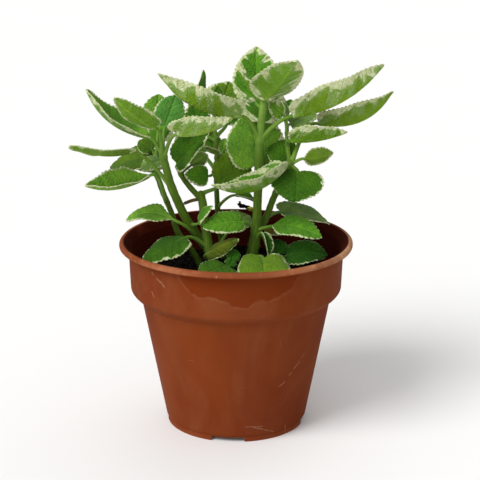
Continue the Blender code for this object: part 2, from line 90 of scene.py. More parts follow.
def unit(vectors: Array) -> Array:
    """Scale vectors to length one.

    Args:
        vectors: One vector, or an array whose last axis holds vectors.

    Returns:
        The same vectors at length one.
    """
    vectors = np.asarray(vectors, dtype=float)
    return vectors / np.maximum(np.linalg.norm(vectors, axis=-1, keepdims=True), 1e-12)


def curve_through(points: Sequence[Sequence[float]], per_span: int) -> Array:
    """Lay a smooth curve through points.

    Args:
        points: The points that the curve passes through.
        per_span: The steps between one point and the next.

    Returns:
        The curve's points, one row each.
    """
    fixed = np.asarray(points, dtype=float)
    ends = np.vstack((2 * fixed[0] - fixed[1], fixed, 2 * fixed[-1] - fixed[-2]))
    t = (np.arange(per_span) / per_span)[:, None]
    spans = []
    for a, b, c, d in zip(ends, ends[1:], ends[2:], ends[3:]):
        bend = (2 * a - 5 * b + 4 * c - d) * t**2 / 2 + (3 * b - a - 3 * c + d) * t**3 / 2
        spans.append(b + (c - a) * t / 2 + bend)
    return np.vstack(spans + [fixed[-1:]])


def turns(count: int) -> Array:
    """Return angles that divide a full turn evenly."""
    return 2 * math.pi * np.arange(count) / count


def smooth_step(value: Array, low: float, high: float) -> Array:
    """Rise smoothly from 0 at low to 1 at high.

    Args:
        value: The values to read.
        low: Where the rise starts.
        high: Where the rise ends.

    Returns:
        The shares between 0 and 1.
    """
    share = np.clip((value - low) / (high - low), 0, 1)
    return share * share * (3 - 2 * share)


class Draft:
    """Points, faces and point values that are gathered for one mesh."""

    def __init__(self) -> None:
        """Start with nothing in the draft."""
        self.points: List[Array] = []
        self.faces: List[List[int]] = []
        self.values: Dict[str, List[Array]] = {}
        self.total = 0

    def add(self, points: Array, faces: Sequence[Array], **values: Sequence[float]) -> None:
        """Add a shape.

        Args:
            points: Its points, one row each, in millimetres.
            faces: Arrays of corner numbers, one face a row, that look outward.
            **values: Named vectors for the shader, one for all points or one a point.
        """
        self.points.append(np.asarray(points, dtype=float))
        for group in faces:
            self.faces.extend((np.asarray(group) + self.total).tolist())
        for name, value in values.items():
            rows = np.broadcast_to(np.asarray(value, dtype=float), (len(points), 3))
            self.values.setdefault(name, []).append(rows)
        self.total += len(points)

    def add_rings(self, rings: Array, ends: Sequence[Array], **values: Array) -> None:
        """Add a closed skin over a row of rings, with a point at either end.

        Args:
            rings: An array of rings, points a ring and coordinates, anticlockwise from the far end.
            ends: The near and the far end point.
            **values: Named vectors, one array of the rings' shape each, or one vector for all.
        """
        count, sides = rings.shape[:2]
        side = np.arange(sides)
        after = (side + 1) % sides
        low = (np.arange(count - 1) * sides)[:, None]
        quads = np.stack((low + side, low + after, low + sides + after, low + sides + side), axis=-1)
        near, far = count * sides, count * sides + 1
        top = (count - 1) * sides
        caps = np.vstack((
            np.stack((np.full(sides, near), after, side), axis=-1),
            np.stack((np.full(sides, far), top + side, top + after), axis=-1),
        ))
        rows = {}
        for name, value in values.items():
            value = np.broadcast_to(np.asarray(value, dtype=float), rings.shape)
            close = (value[0].mean(axis=0), value[-1].mean(axis=0))
            rows[name] = np.vstack((value.reshape(-1, 3), *close))
        self.add(np.vstack((rings.reshape(-1, 3), *ends)), (quads.reshape(-1, 4), caps), **rows)

    def build(self, name: str, finish: Material) -> Piece:
        """Make the mesh object, smooth all over.

        Args:
            name: The object's name.
            finish: Its material.

        Returns:
            The object, at the origin.
        """
        mesh = bpy.data.meshes.new(name)
        mesh.from_pydata((np.vstack(self.points) * MM).tolist(), [], self.faces)
        for label, rows in self.values.items():
            layer = mesh.attributes.new(label, "FLOAT_VECTOR", "POINT")
            layer.data.foreach_set("vector", np.vstack(rows).astype(np.float32).ravel())
        mesh.materials.append(finish)
        mesh.validate()
        mesh.shade_smooth()
        made = bpy.data.objects.new(name, mesh)
        bpy.context.scene.collection.objects.link(made)
        return made


class Graph:
    """The nodes of one material, made and linked by short calls; spot is the place on the piece."""

    def __init__(self, name: str) -> None:
        """Make the material.

        Args:
            name: The material's name.
        """
        self.material = bpy.data.materials.new(name)
        self.material.use_nodes = True
        self.tree = self.material.node_tree
        self.shader = self.tree.nodes["Principled BSDF"]
        self.spot = self.node("ShaderNodeTexCoord").outputs["Object"]

    def node(self, kind: str, inputs: Optional[Dict[str, object]] = None,
             **settings: object) -> bpy.types.Node:
        """Add a node.

        Args:
            kind: The node's type.
            inputs: Values or sockets for its inputs, by name or number.
            **settings: Values of its own properties.

        Returns:
            The node.
        """
        made = self.tree.nodes.new(kind)
        for name, value in settings.items():
            setattr(made, name, value)
        for name, value in (inputs or {}).items():
            if isinstance(value, Socket):
                self.tree.links.new(value, made.inputs[name])
            else:
                made.inputs[name].default_value = value
        return made

    def attribute(self, name: str) -> Socket:
        """Return the vector that the mesh holds under a name."""
        return self.node("ShaderNodeAttribute", attribute_name=name).outputs["Vector"]

    def part(self, vector: Socket, axis: str) -> Socket:
        """Return one coordinate of a vector."""
        return self.node("ShaderNodeSeparateXYZ", {"Vector": vector}).outputs[axis]

    def sum(self, operation: str, *values: object) -> Socket:
        """Return the result of a sum on numbers.

        Args:
            operation: The sum's name.
            *values: Its numbers or sockets.

        Returns:
            The result.
        """
        return self.node("ShaderNodeMath", dict(enumerate(values)), operation=operation).outputs[0]

    def times(self, first: object, second: object) -> Socket:
        """Return the product of two numbers or sockets."""
        return self.sum("MULTIPLY", first, second)

    def stretch(self, vector: Socket, scale: Point, turn: Point = (0, 0, 0)) -> Socket:
        """Return coordinates that are turned and scaled.

        Args:
            vector: The coordinates.
            scale: The scale along each axis.
            turn: The turn about each axis, in degrees.

        Returns:
            The new coordinates.
        """
        turn = tuple(math.radians(angle) for angle in turn)
        inputs = {"Vector": vector, "Scale": scale, "Rotation": turn}
        return self.node("ShaderNodeMapping", inputs).outputs["Vector"]

    def noise(self, vector: Socket, scale: float, detail: float = 2.0, rough: float = 0.5,
              warp: float = 0.0) -> Socket:
        """Return soft noise between 0 and 1.

        Args:
            vector: The coordinates it is read at.
            scale: The number of waves a unit.
            detail: How many finer layers it has.
            rough: How strong the finer layers are.
            warp: How far it is swirled.

        Returns:
            The noise.
        """
        inputs = {"Vector": vector, "Scale": scale, "Detail": detail, "Roughness": rough, "Distortion": warp}
        return self.node("ShaderNodeTexNoise", inputs).outputs["Fac"]

    def cells(self, vector: Socket, scale: float, feature: str = "F1") -> Socket:
        """Return the distance to the cells' middles, or to their edges.

        Args:
            vector: The coordinates it is read at.
            scale: The number of cells a unit.
            feature: Which distance is read.

        Returns:
            The distance.
        """
        inputs = {"Vector": vector, "Scale": scale}
        return self.node("ShaderNodeTexVoronoi", inputs, feature=feature).outputs["Distance"]

    def rise(self, value: Socket, low: object, high: object, to: Pair = (0.0, 1.0)) -> Socket:
        """Return a smooth rise from one value to another.

        Args:
            value: The number that is read.
            low: Where the rise starts.
            high: Where the rise ends.
            to: The results at the start and the end.

        Returns:
            The result.
        """
        inputs = {"Value": value, "From Min": low, "From Max": high, "To Min": to[0], "To Max": to[1]}
        return self.node("ShaderNodeMapRange", inputs, interpolation_type="SMOOTHSTEP").outputs["Result"]

    def mix(self, share: object, first: object, second: object, blend: str = "MIX") -> Socket:
        """Return a blend of two colours.

        Args:
            share: How much of the second is taken.
            first: A colour or a socket.
            second: A colour or a socket.
            blend: How the second is laid over the first.

        Returns:
            The blended colour.
        """
        made = self.node("ShaderNodeMix", data_type="RGBA", blend_type=blend)
        for number, value in ((0, share), (6, first), (7, second)):
            if isinstance(value, Socket):
                self.tree.links.new(value, made.inputs[number])
            elif number == 0:
                made.inputs[0].default_value = value
            else:
                made.inputs[number].default_value = (*value, 1.0)
        return made.outputs[2]

    def finish(self, colour: Socket, bumps: Sequence[Tuple[Socket, float, float]],
               links: Optional[Dict[str, Socket]] = None, **sockets: float) -> Material:
        """Set the shader's own sockets and return the material.

        Args:
            colour: The base colour.
            bumps: Heights with their distance in metres and their strength, coarse ones first.
            links: Sockets that drive the shader's other inputs.
            **sockets: Even values for the shader's other inputs, with words joined by underscores.

        Returns:
            The finished material.
        """
        self.tree.links.new(colour, self.shader.inputs["Base Color"])
        for name, socket in (links or {}).items():
            self.tree.links.new(socket, self.shader.inputs[name])
        for name, value in sockets.items():
            self.shader.inputs[name.replace("_", " ")].default_value = value
        normal = None
        for height, distance, strength in bumps:
            inputs = {"Height": height, "Distance": distance, "Strength": strength}
            bump = self.node("ShaderNodeBump", inputs)
            if normal is not None:
                self.tree.links.new(normal, bump.inputs["Normal"])
            normal = bump.outputs["Normal"]
        if normal is not None:
            self.tree.links.new(normal, self.shader.inputs["Normal"])
        return self.material


class Tone(Enum):
    """The green of a leaf's upper side, away from its cream margin. Three members are painted light and
    shade: two darker copies of the green paint shade on leaves that lie in shade, and a brighter copy paints
    light on leaves in the shade of others.
    """

    FRESH = (0.072, 0.220, 0.010)
    BRIGHT = (0.115, 0.275, 0.022)
    # Painted shade: a darker copy of the leaf green for leaves that lie in shade
    PAINTED_SHADE = (0.034, 0.115, 0.002)
    # Painted shade: a still darker copy of the leaf green for leaves deep in shade
    PAINTED_DEEP_SHADE = (0.018, 0.100, 0.003)
    MOSS = (0.058, 0.130, 0.004)
    OLIVE = (0.100, 0.205, 0.008)
    TEAL = (0.072, 0.230, 0.032)
    SEA = (0.120, 0.215, 0.048)
    GREYED = (0.140, 0.240, 0.050)
    MILKY = (0.190, 0.330, 0.085)
    # Painted light: a brighter copy of the leaf green for leaves that lie in the shade of other leaves
    PAINTED_LIGHT = (0.155, 0.350, 0.032)
    YELLOWING = (0.070, 0.105, 0.005)
    WITHERED = (0.150, 0.130, 0.010)


@dataclass(frozen=True)
class LeafSkin:
    """Velvety leaf: a green centre, a broken cream margin and grey-green blotches where the two overlap."""

    cream: Colour = (0.600, 0.650, 0.390)
    warm_cream: Colour = (0.440, 0.500, 0.220)
    blend_zone: Colour = (0.230, 0.345, 0.110)
    under_tint: Colour = (0.140, 0.275, 0.008)
    speck: Colour = (0.020, 0.035, 0.010)
    bloom: Colour = (0.320, 0.450, 0.140)
    vein_light: Colour = (1.55, 1.38, 1.4)
    cloud_shade: Colour = (0.78, 0.84, 0.80)
    cloud_light: Colour = (1.30, 1.18, 1.10)
    under_light: Colour = (1.2, 1.1, 1.1)
    vein_strength: float = 0.34
    rib_strength: float = 0.55
    net_strength: float = 0.16
    roughness: float = 0.66
    sheen: float = 0.02
    glow: float = 0.10
    crisp: float = 0.10
    soft: float = 0.85

    def material(self) -> Material:
        """Make the leaf material.

        It reads what each blade's mesh holds: place (along, across and a number of its own), streak (place
        among the side veins), edge (distance from the margin, the margin's cream width and 1 on the upper
        side) and tone (its green).

        Returns:
            The material.
        """
        g = Graph("leaf_skin")
        place, streak = g.attribute("place"), g.attribute("streak")
        upper = g.part(g.attribute("edge"), "Z")
        net = g.cells(g.stretch(place, (0.42, 0.42, 1.0)), 1.0, "DISTANCE_TO_EDGE")
        net_line = g.rise(net, 0.0, 0.16, (1.0, 0.0))
        side_vein = g.sum("PINGPONG", g.part(streak, "X"), 0.5)
        vein_line = g.rise(side_vein, 0.0, 0.07, (1.0, 0.0))
        rib_line = g.rise(g.sum("ABSOLUTE", g.part(place, "Y")), 0.3, 1.1, (1.0, 0.0))
        veins = g.times(vein_line, self.vein_strength)
        for line, strength in ((rib_line, self.rib_strength), (net_line, self.net_strength)):
            veins = g.sum("MAXIMUM", veins, g.times(line, strength))
        green = self.green(g, place, upper)
        green = g.mix(veins, green, g.mix(1.0, green, self.vein_light, "MULTIPLY"))
        colour = self.margin(g, green, place, streak, upper)
        specks = g.rise(g.cells(place, 0.17), 0.035, 0.055, (1.0, 0.0))
        colour = g.mix(g.times(specks, 0.5), colour, self.speck)
        nap = g.noise(place, 5.0, 3.0, 0.7)
        colour = g.mix(g.rise(nap, 0.35, 0.75, (0.0, 0.06)), colour, self.bloom)
        furrows = g.times(g.sum("ADD", vein_line, rib_line), 0.8)
        relief = g.sum("SUBTRACT", g.rise(net, 0.0, 0.32), furrows)
        rough = g.rise(nap, 0.2, 0.8, (self.roughness - 0.1, self.roughness + 0.12))
        bumps = ((relief, 0.40 * MM, 0.9), (nap, 0.12 * MM, 0.8))
        return g.finish(colour, bumps, {"Roughness": rough}, Sheen_Weight=self.sheen, Sheen_Roughness=0.45,
                        Subsurface_Weight=self.glow, Subsurface_Scale=1.5 * MM, Specular_IOR_Level=0.10)

    def green(self, g: Graph, place: Socket, upper: Socket) -> Socket:
        """Colour the green part, cloudy on both sides and more olive below.

        Args:
            g: The material's graph.
            place: Place on the blade.
            upper: 1 on the upper side and 0 on the lower.

        Returns:
            The colour.
        """
        tone = g.attribute("tone")
        cloud = g.rise(g.noise(place, 0.07, 2.0), 0.35, 0.68)
        shaded = g.mix(1.0, tone, self.cloud_shade, "MULTIPLY")
        green = g.mix(cloud, shaded, g.mix(1.0, tone, self.cloud_light, "MULTIPLY"))
        under = g.mix(0.45, g.mix(1.0, green, self.under_light, "MULTIPLY"), self.under_tint)
        mealy = g.rise(g.noise(place, 0.22, 3.0, 0.6), 0.45, 0.75, (0.0, 0.30))
        under = g.mix(mealy, under, self.blend_zone)
        return g.mix(g.sum("SUBTRACT", 1.0, upper), green, under)

    def margin(self, g: Graph, green: Socket, place: Socket, streak: Socket, upper: Socket) -> Socket:
        """Lay the cream margin over the green, crisp above and blurred below.

        Args:
            g: The material's graph.
            green: The colour of the green part.
            place: Place on the blade.
            streak: Place among the side veins.
            upper: 1 on the upper side and 0 on the lower.

        Returns:
            The colour.
        """
        edge = g.attribute("edge")
        inward, width = g.part(edge, "X"), g.part(edge, "Y")
        lobes = g.rise(g.noise(g.stretch(streak, (1.25, 0.05, 1.0)), 1.0, 1.0), 0.32, 0.68, (0.30, 1.75))
        patch = g.rise(g.noise(place, 0.11, 2.0, 0.5, 0.4), 0.35, 0.65, (0.60, 1.30))
        front = g.times(width, g.times(lobes, patch))
        steps = g.noise(g.stretch(streak, (6.0, 0.35, 1.0)), 1.0, 2.0, 0.55)
        fringe = g.noise(place, 1.1, 2.0, 0.6)
        coarse, fine = g.sum("MULTIPLY_ADD", steps, 1.5, -0.75), g.sum("MULTIPLY_ADD", fringe, 0.9, -0.45)
        rag = g.times(g.sum("ADD", coarse, fine), g.rise(width, 0.0, 2.5, (0.35, 1.0)))
        depth = g.sum("ADD", inward, rag)
        blur = g.sum("MULTIPLY_ADD", upper, self.crisp - self.soft, self.soft)
        blur = g.times(blur, g.rise(width, 0.5, 3.0, (0.35, 1.0)))
        low = g.times(blur, -1.0)
        reach = g.sum("SUBTRACT", front, depth)
        cream_zone = g.rise(reach, low, blur)
        below = g.sum("SUBTRACT", 1.0, upper)
        spread = g.sum("MULTIPLY_ADD", lobes, 0.28, 0.05)
        spread = g.times(spread, g.sum("MULTIPLY_ADD", below, 2.0, 1.0))
        wide = g.sum("ADD", reach, g.times(width, spread))
        blend_zone = g.times(g.rise(wide, low, blur), g.sum("MULTIPLY_ADD", below, 0.18, 0.72))
        mottle = g.rise(g.noise(place, 0.75, 3.0, 0.65), 0.36, 0.62, (0.35, 1.0))
        blend_zone = g.times(blend_zone, g.sum("MAXIMUM", mottle, upper))
        islands = g.rise(g.noise(g.stretch(streak, (2.4, 0.13, 1.0)), 1.5, 2.0, 0.55), 0.56, 0.66)
        islands = g.times(islands, g.rise(inward, 1.0, 2.4, (0.0, 0.85)))
        dots = g.rise(g.noise(place, 1.7, 2.0, 0.6), 0.60, 0.70, (0.0, 0.45))
        thinned = g.sum("SUBTRACT", 1.0, g.sum("MAXIMUM", islands, dots))
        cream = g.mix(g.rise(g.noise(place, 0.35, 2.0), 0.35, 0.7), self.cream, self.warm_cream)
        own = g.sum("MULTIPLY_ADD", upper, 0.30, 0.15)
        colour = g.mix(blend_zone, green, g.mix(own, self.blend_zone, green))
        return g.mix(g.times(cream_zone, thinned), colour, cream)


@dataclass(frozen=True)
class StalkSkin:
    """Downy, juicy green bark of the stems and the leaf stalks."""

    pale: Colour = (0.230, 0.365, 0.040)
    dusk: Colour = (0.035, 0.080, 0.006)
    scar: Colour = (0.120, 0.090, 0.030)
    roughness: float = 0.58
    sheen: float = 0.04
    glow: float = 0.10

    def material(self) -> Material:
        """Make the stalk material, which reads place (around, along and a number) and tone.

        Returns:
            The material.
        """
        g = Graph("stalk_skin")
        place, tone = g.attribute("place"), g.attribute("tone")
        grain = g.noise(g.stretch(place, (1.6, 0.12, 1.0)), 1.0, 3.0, 0.6)
        cloud = g.noise(place, 0.12, 2.0)
        colour = g.mix(g.rise(grain, 0.35, 0.75, (0.0, 0.30)), tone, self.pale)
        colour = g.mix(g.rise(cloud, 0.45, 0.8, (0.0, 0.35)), colour, self.dusk)
        scars = g.rise(g.noise(place, 0.55, 3.0, 0.7), 0.70, 0.76, (0.0, 0.5))
        colour = g.mix(scars, colour, self.scar)
        nap = g.noise(place, 3.2, 2.0, 0.7)
        rough = g.rise(nap, 0.2, 0.8, (self.roughness - 0.1, self.roughness + 0.1))
        bumps = ((grain, 0.30 * MM, 0.6), (nap, 0.12 * MM, 0.6))
        return g.finish(colour, bumps, {"Roughness": rough}, Sheen_Weight=self.sheen, Sheen_Roughness=0.3,
                        Subsurface_Weight=self.glow, Subsurface_Scale=2.0 * MM, Specular_IOR_Level=0.12)


@dataclass(frozen=True)
class Down:
    """Fine pale hairs that stand off the stems, the stalks and the blades' edges."""

    colour: Colour = (0.420, 0.520, 0.220)
    root_colour: Colour = (0.140, 0.240, 0.040)
    roughness: float = 0.5

    def material(self) -> Material:
        """Make the hair material, paler towards the hairs' tips.

        Returns:
            The material.
        """
        g = Graph("down")
        height = g.part(g.attribute("place"), "X")
        colour = g.mix(g.rise(height, 0.0, 1.0), self.root_colour, self.colour)
        return g.finish(colour, (), Roughness=self.roughness, Specular_IOR_Level=0.15)


@dataclass(frozen=True)
class TerracottaPlastic:
    """Matte moulded plastic in a terracotta colour, with dust, a water mark, scuffs and fine scratches, a
    painted sheen at its sides, a painted highlight on its lip and painted shade and light inside.
    """

    colour: Colour = (0.178, 0.036, 0.008)
    ruddy: Colour = (0.152, 0.026, 0.006)
    wet: Colour = (0.148, 0.022, 0.002)
    dark: Colour = (0.088, 0.015, 0.003)
    # Painted shade: the inside is coloured far darker than the plastic; the colour below paints light on its
    # ridges and in streaks
    inner: Colour = (0.045, 0.006, 0.002)
    inside_painted_light: Colour = (0.140, 0.018, 0.006)
    # Used for dust, grit and the tide line, and also as the painted sheen at the pot's sides
    dust_and_sheen: Colour = (0.235, 0.092, 0.045)
    # The lip's pale colour and the beige towards the right are partly wear and dust, partly a painted
    # highlight along the rim
    lip: Colour = (0.420, 0.160, 0.075)
    lip_dust_and_highlight: Colour = (0.540, 0.350, 0.200)
    scratch: Colour = (0.400, 0.235, 0.155)
    stain_strength: float = 0.75
    stain_gloss: float = 0.12
    inside_roughness: float = 0.3
    roughness: float = 0.60

    def material(self) -> Material:
        """Make the pot's material.

        It reads wear: edge wear, which also places the lip's painted highlight, the height, and 0 outside, 1
        inside or up to 2 on the crown of a ridge, which places the painted shade and light inside.

        Returns:
            The material.
        """
        g = Graph("terracotta_plastic")
        wear = g.attribute("wear")
        inside = g.sum("MINIMUM", g.part(wear, "Z"), 1.0)
        cloud = g.noise(g.spot, 14.0, 3.0, 0.55)
        colour = g.mix(g.rise(cloud, 0.35, 0.68), self.colour, self.ruddy)
        drips = g.noise(g.stretch(g.spot, (70.0, 70.0, 7.0)), 1.0, 3.0, 0.6)
        colour = g.mix(g.rise(drips, 0.45, 0.8, (0.0, 0.22)), colour, self.dark)
        # Dust film, strengthened towards the left and right sides into a painted sheen
        dust_film_and_sheen = g.noise(g.stretch(g.spot, (1.0, 1.0, 0.55)), 26.0, 4.0, 0.62, 0.8)
        dust_film_and_sheen = g.times(g.rise(dust_film_and_sheen, 0.40, 0.78), self.dust_and_edge_sheen(g, wear))
        colour = g.mix(dust_film_and_sheen, colour, self.dust_and_sheen)
        stain, tide = self.water_mark(g)
        colour = g.mix(g.times(stain, self.stain_strength), colour, self.wet)
        broken = g.rise(g.noise(g.spot, 120.0, 2.0), 0.40, 0.62, (0.05, 0.24))
        colour = g.mix(g.times(tide, broken), colour, self.dust_and_sheen)
        grit = g.rise(g.noise(g.spot, 900.0, 2.0, 0.6), 0.60, 0.75, (0.0, 0.14))
        colour = g.mix(grit, colour, self.dust_and_sheen)
        marks = self.marks(g)
        colour = g.mix(marks, colour, self.scratch)
        # Wear and painted highlight on the lip
        colour = self.worn_and_highlit_lip(g, colour, wear)
        smuts = g.rise(g.noise(g.spot, 420.0, 2.0, 0.7), 0.71, 0.75, (0.0, 0.6))
        colour = g.mix(smuts, colour, self.dark)
        # Painted shade over the inside, with painted light on its ridges and streaks
        colour = g.mix(inside, colour, self.inside_shade_and_light(g, wear))
        grain = g.noise(g.spot, 1500.0, 2.0, 0.6)
        swell = g.noise(g.spot, 45.0, 2.0, 0.5)
        rough = g.sum("ADD", g.rise(cloud, 0.2, 0.8, (self.roughness - 0.06, self.roughness + 0.08)), dust_film_and_sheen)
        rough = g.sum("SUBTRACT", rough, g.times(stain, self.stain_gloss))
        rough = g.sum("MULTIPLY_ADD", inside, self.inside_roughness, rough)
        bumps = ((swell, 0.8 * MM, 0.25), (grain, 0.06 * MM, 0.5), (marks, 0.10 * MM, 0.5))
        return g.finish(colour, bumps, {"Roughness": rough}, Specular_IOR_Level=0.03)

    def worn_and_highlit_lip(self, g: Graph, colour: Socket, wear: Socket) -> Socket:
        """Rub the lip pale with wear and a painted highlight, least at the front and the back, with beige
        dust and a painted highlight towards the right.

        Args:
            g: The material's graph.
            colour: The colour of the outside.
            wear: The wear attribute.

        Returns:
            The colour with the lip's wear and painted highlight on it.
        """
        chips = g.rise(g.noise(g.spot, 260.0, 3.0, 0.7), 0.50, 0.64)
        rubbed_and_lit = g.rise(g.noise(g.spot, 34.0, 2.0), 0.38, 0.62, (0.12, 0.60))
        edge = g.times(g.part(wear, "X"), g.sum("MULTIPLY_ADD", chips, 0.22, rubbed_and_lit))
        beside = g.rise(g.sum("ABSOLUTE", g.part(g.spot, "X")), 14.0 * MM, 38.0 * MM, (0.30, 1.0))
        edge = g.times(edge, beside)
        right = g.rise(g.part(g.spot, "X"), 35.0 * MM, 68.0 * MM, (0.0, 0.75))
        return g.mix(g.times(edge, right), g.mix(edge, colour, self.lip), self.lip_dust_and_highlight)

    def inside_shade_and_light(self, g: Graph, wear: Socket) -> Socket:
        """Paint shade over the inside, with painted light on the ridges and in streaks, most at the left.

        Args:
            g: The material's graph.
            wear: The wear attribute, whose third part places the painted shade and light.

        Returns:
            The colour.
        """
        streaks = g.noise(g.stretch(g.spot, (60.0, 60.0, 6.0)), 1.0, 2.0, 0.6)
        streaks = g.rise(streaks, 0.50, 0.75, (0.0, 0.6))
        ridge = g.rise(g.part(wear, "Z"), 1.05, 1.95, (0.0, 0.9))
        left = g.rise(g.part(g.spot, "X"), 20.0 * MM, -45.0 * MM, (0.2, 1.0))
        lit = g.times(g.sum("MAXIMUM", streaks, ridge), left)
        return g.mix(lit, self.inner, self.inside_painted_light)

    def dust_and_edge_sheen(self, g: Graph, wear: Socket) -> Socket:
        """Say how much dust and painted sheen the height and the side of the pot hold: dust most on the
        collar and by the foot, and a painted sheen of grazing light growing towards the pot's left and right
        sides.

        Args:
            g: The material's graph.
            wear: The wear attribute.

        Returns:
            The strength of the dust and the painted sheen.
        """
        height = g.part(wear, "Y")
        collar = g.rise(height, 84.0, 92.0, (0.38, 0.44))
        foot = g.rise(height, 4.0, 18.0, (0.15, 0.0))
        # Painted sheen: the film grows towards the pot's left and right sides, where grazing light shows a
        # pale sheen
        aside = g.rise(g.sum("ABSOLUTE", g.part(g.spot, "X")), 38.0 * MM, 66.0 * MM, (0.65, 1.5))
        return g.times(g.sum("ADD", collar, foot), aside)

    def water_mark(self, g: Graph) -> Tuple[Socket, Socket]:
        """Lay the clean, darker patch that water left on the front of the collar, and its wavy tide line.

        Args:
            g: The material's graph.

        Returns:
            The patch and the line.
        """
        middle, half, top, deep = WATER_MARK
        far = g.sum("DIVIDE", g.sum("SUBTRACT", g.part(g.spot, "X"), middle * MM), half * MM)
        down = g.sum("DIVIDE", g.sum("SUBTRACT", top * MM, g.part(g.spot, "Z")), deep * MM)
        wavy = g.sum("MULTIPLY_ADD", g.noise(g.spot, 62.0, 3.0, 0.45), 1.1, -0.55)
        reach = g.sum("ADD", g.sum("ADD", g.sum("POWER", g.sum("ABSOLUTE", far), 3.0), down), wavy)
        front = g.rise(g.part(g.spot, "Y"), -20.0 * MM, -40.0 * MM)
        collar = g.rise(g.part(g.spot, "Z"), 117.5 * MM, 116.0 * MM)
        stain = g.times(g.rise(reach, 1.05, 0.97), front)
        past = g.sum("ABSOLUTE", g.sum("SUBTRACT", reach, 1.07))
        tide = g.times(g.rise(past, 0.0, 0.07, (1.0, 0.0)), front)
        return g.times(stain, collar), g.times(tide, collar)

    def marks(self, g: Graph) -> Socket:
        """Gather the fine scratches and the single scuffs.

        Args:
            g: The material's graph.

        Returns:
            The marks' strength.
        """
        marks = g.sum("MAXIMUM", self.scratches(g, (500.0, 35.0, 35.0), (0, 25, 40), 0.730),
                      self.scratches(g, (35.0, 35.0, 620.0), (35, 10, 0), 0.745))
        for ends in SCUFF_MARKS:
            marks = g.sum("MAXIMUM", marks, self.scuff(g, *ends))
        return marks

    def scuff(self, g: Graph, start: Pair, end: Pair, width: float, strength: float) -> Socket:
        """Draw one straight scuff on the front.

        Args:
            g: The material's graph.
            start: X and height of one end, in millimetres.
            end: X and height of the other end.
            width: Its width.
            strength: Its strength.

        Returns:
            The scuff's strength.
        """
        way = np.subtract(end, start)
        size = float(np.hypot(*way))
        middle = np.add(start, end) / 2 * MM
        way = way / size
        x = g.sum("SUBTRACT", g.part(g.spot, "X"), float(middle[0]))
        z = g.sum("SUBTRACT", g.part(g.spot, "Z"), float(middle[1]))
        along = g.sum("ADD", g.times(x, float(way[0])), g.times(z, float(way[1])))
        aside = g.sum("SUBTRACT", g.times(x, float(way[1])), g.times(z, float(way[0])))
        bend = g.sum("MULTIPLY_ADD", g.noise(g.spot, 90.0, 2.0), 3.0 * MM, -1.5 * MM)
        aside = g.sum("ABSOLUTE", g.sum("ADD", aside, bend))
        line = g.rise(aside, 0.15 * width * MM, width * MM, (strength, 0.0))
        ends = g.rise(g.sum("ABSOLUTE", along), 0.42 * size * MM, 0.5 * size * MM, (1.0, 0.0))
        broken = g.rise(g.noise(g.spot, 330.0, 2.0, 0.6), 0.36, 0.52)
        front = g.rise(g.part(g.spot, "Y"), -10.0 * MM, -14.0 * MM)
        return g.times(g.times(line, ends), g.times(broken, front))

    def scratches(self, g: Graph, scale: Point, turn: Point, level: float) -> Socket:
        """Lay broken hairline scratches.

        Args:
            g: The material's graph.
            scale: How the coordinates are drawn out, which sets the lines' direction.
            turn: The turn of the lines, in degrees.
            level: The height of the noise above which a line shows.

        Returns:
            The scratches' strength.
        """
        lines = g.noise(g.stretch(g.spot, scale, turn), 1.0, 2.0, 0.5)
        gaps = g.rise(g.noise(g.spot, 38.0, 2.0), 0.50, 0.66)
        return g.times(g.rise(lines, level, level + 0.05, (0.0, 0.5)), gaps)


@dataclass(frozen=True)
class PeatMix:
    """Near-black growing mix of peat crumbs, fibres and a little grit."""

    dark: Colour = (0.0015, 0.0012, 0.0009)
    warm: Colour = (0.006, 0.004, 0.0025)
    pale: Colour = (0.035, 0.028, 0.020)
    roughness: float = 0.92

    def material(self) -> Material:
        """Make the soil's material, which reads tone as a tint of each crumb.

        Returns:
            The material.
        """
        g = Graph("peat_mix")
        tint = g.attribute("tone")
        crumbs = g.noise(g.spot, 380.0, 4.0, 0.7)
        colour = g.mix(g.rise(crumbs, 0.35, 0.7), self.dark, self.warm)
        fleck = g.rise(g.noise(g.spot, 1400.0, 2.0, 0.6), 0.70, 0.76, (0.0, 0.8))
        colour = g.mix(fleck, colour, self.pale)
        colour = g.mix(1.0, colour, tint, "MULTIPLY")
        fine = g.noise(g.spot, 1100.0, 4.0, 0.75)
        bumps = ((crumbs, 1.2 * MM, 0.9), (fine, 0.4 * MM, 0.8))
        return g.finish(colour, bumps, Roughness=self.roughness, Specular_IOR_Level=0.08)


@dataclass(frozen=True)
class PaleFloor:
    """Plain pale studio floor."""

    colour: Colour = (0.880, 0.875, 0.865)
    lighter: Colour = (0.900, 0.895, 0.885)

    def material(self) -> Material:
        """Make the floor's material.

        Returns:
            The material.
        """
        g = Graph("pale_floor")
        colour = g.mix(g.noise(g.spot, 3.0, 2.0), self.colour, self.lighter)
        return g.finish(colour, (), Roughness=0.85, Specular_IOR_Level=0.2)


@dataclass(frozen=True)
class Leaf:
    """One blade with its stalk.

    at is the height on the stem where the stalk leaves it. heel and tip are the two ends of the blade's
    midrib. face is roughly the way its upper side looks. fold lifts each half above the midrib, arch raises
    the middle of the midrib (or lowers it, if negative) and lobe is how far the base reaches back past the
    heel, as a share of the length. cream is the width of the cream margin right and left of the midrib.
    """

    at: float
    heel: Point
    tip: Point
    width: float
    face: Point
    fold: float
    arch: float
    lobe: float
    tone: Tone
    cream: Pair


@dataclass(frozen=True)
class Stem:
    """A stem or side branch: points on its axis, its radius at each of them, and its leaves."""

    path: Tuple[Point, ...]
    girth: Tuple[float, ...]
    leaves: Tuple[Leaf, ...] = ()
    withered: bool = False


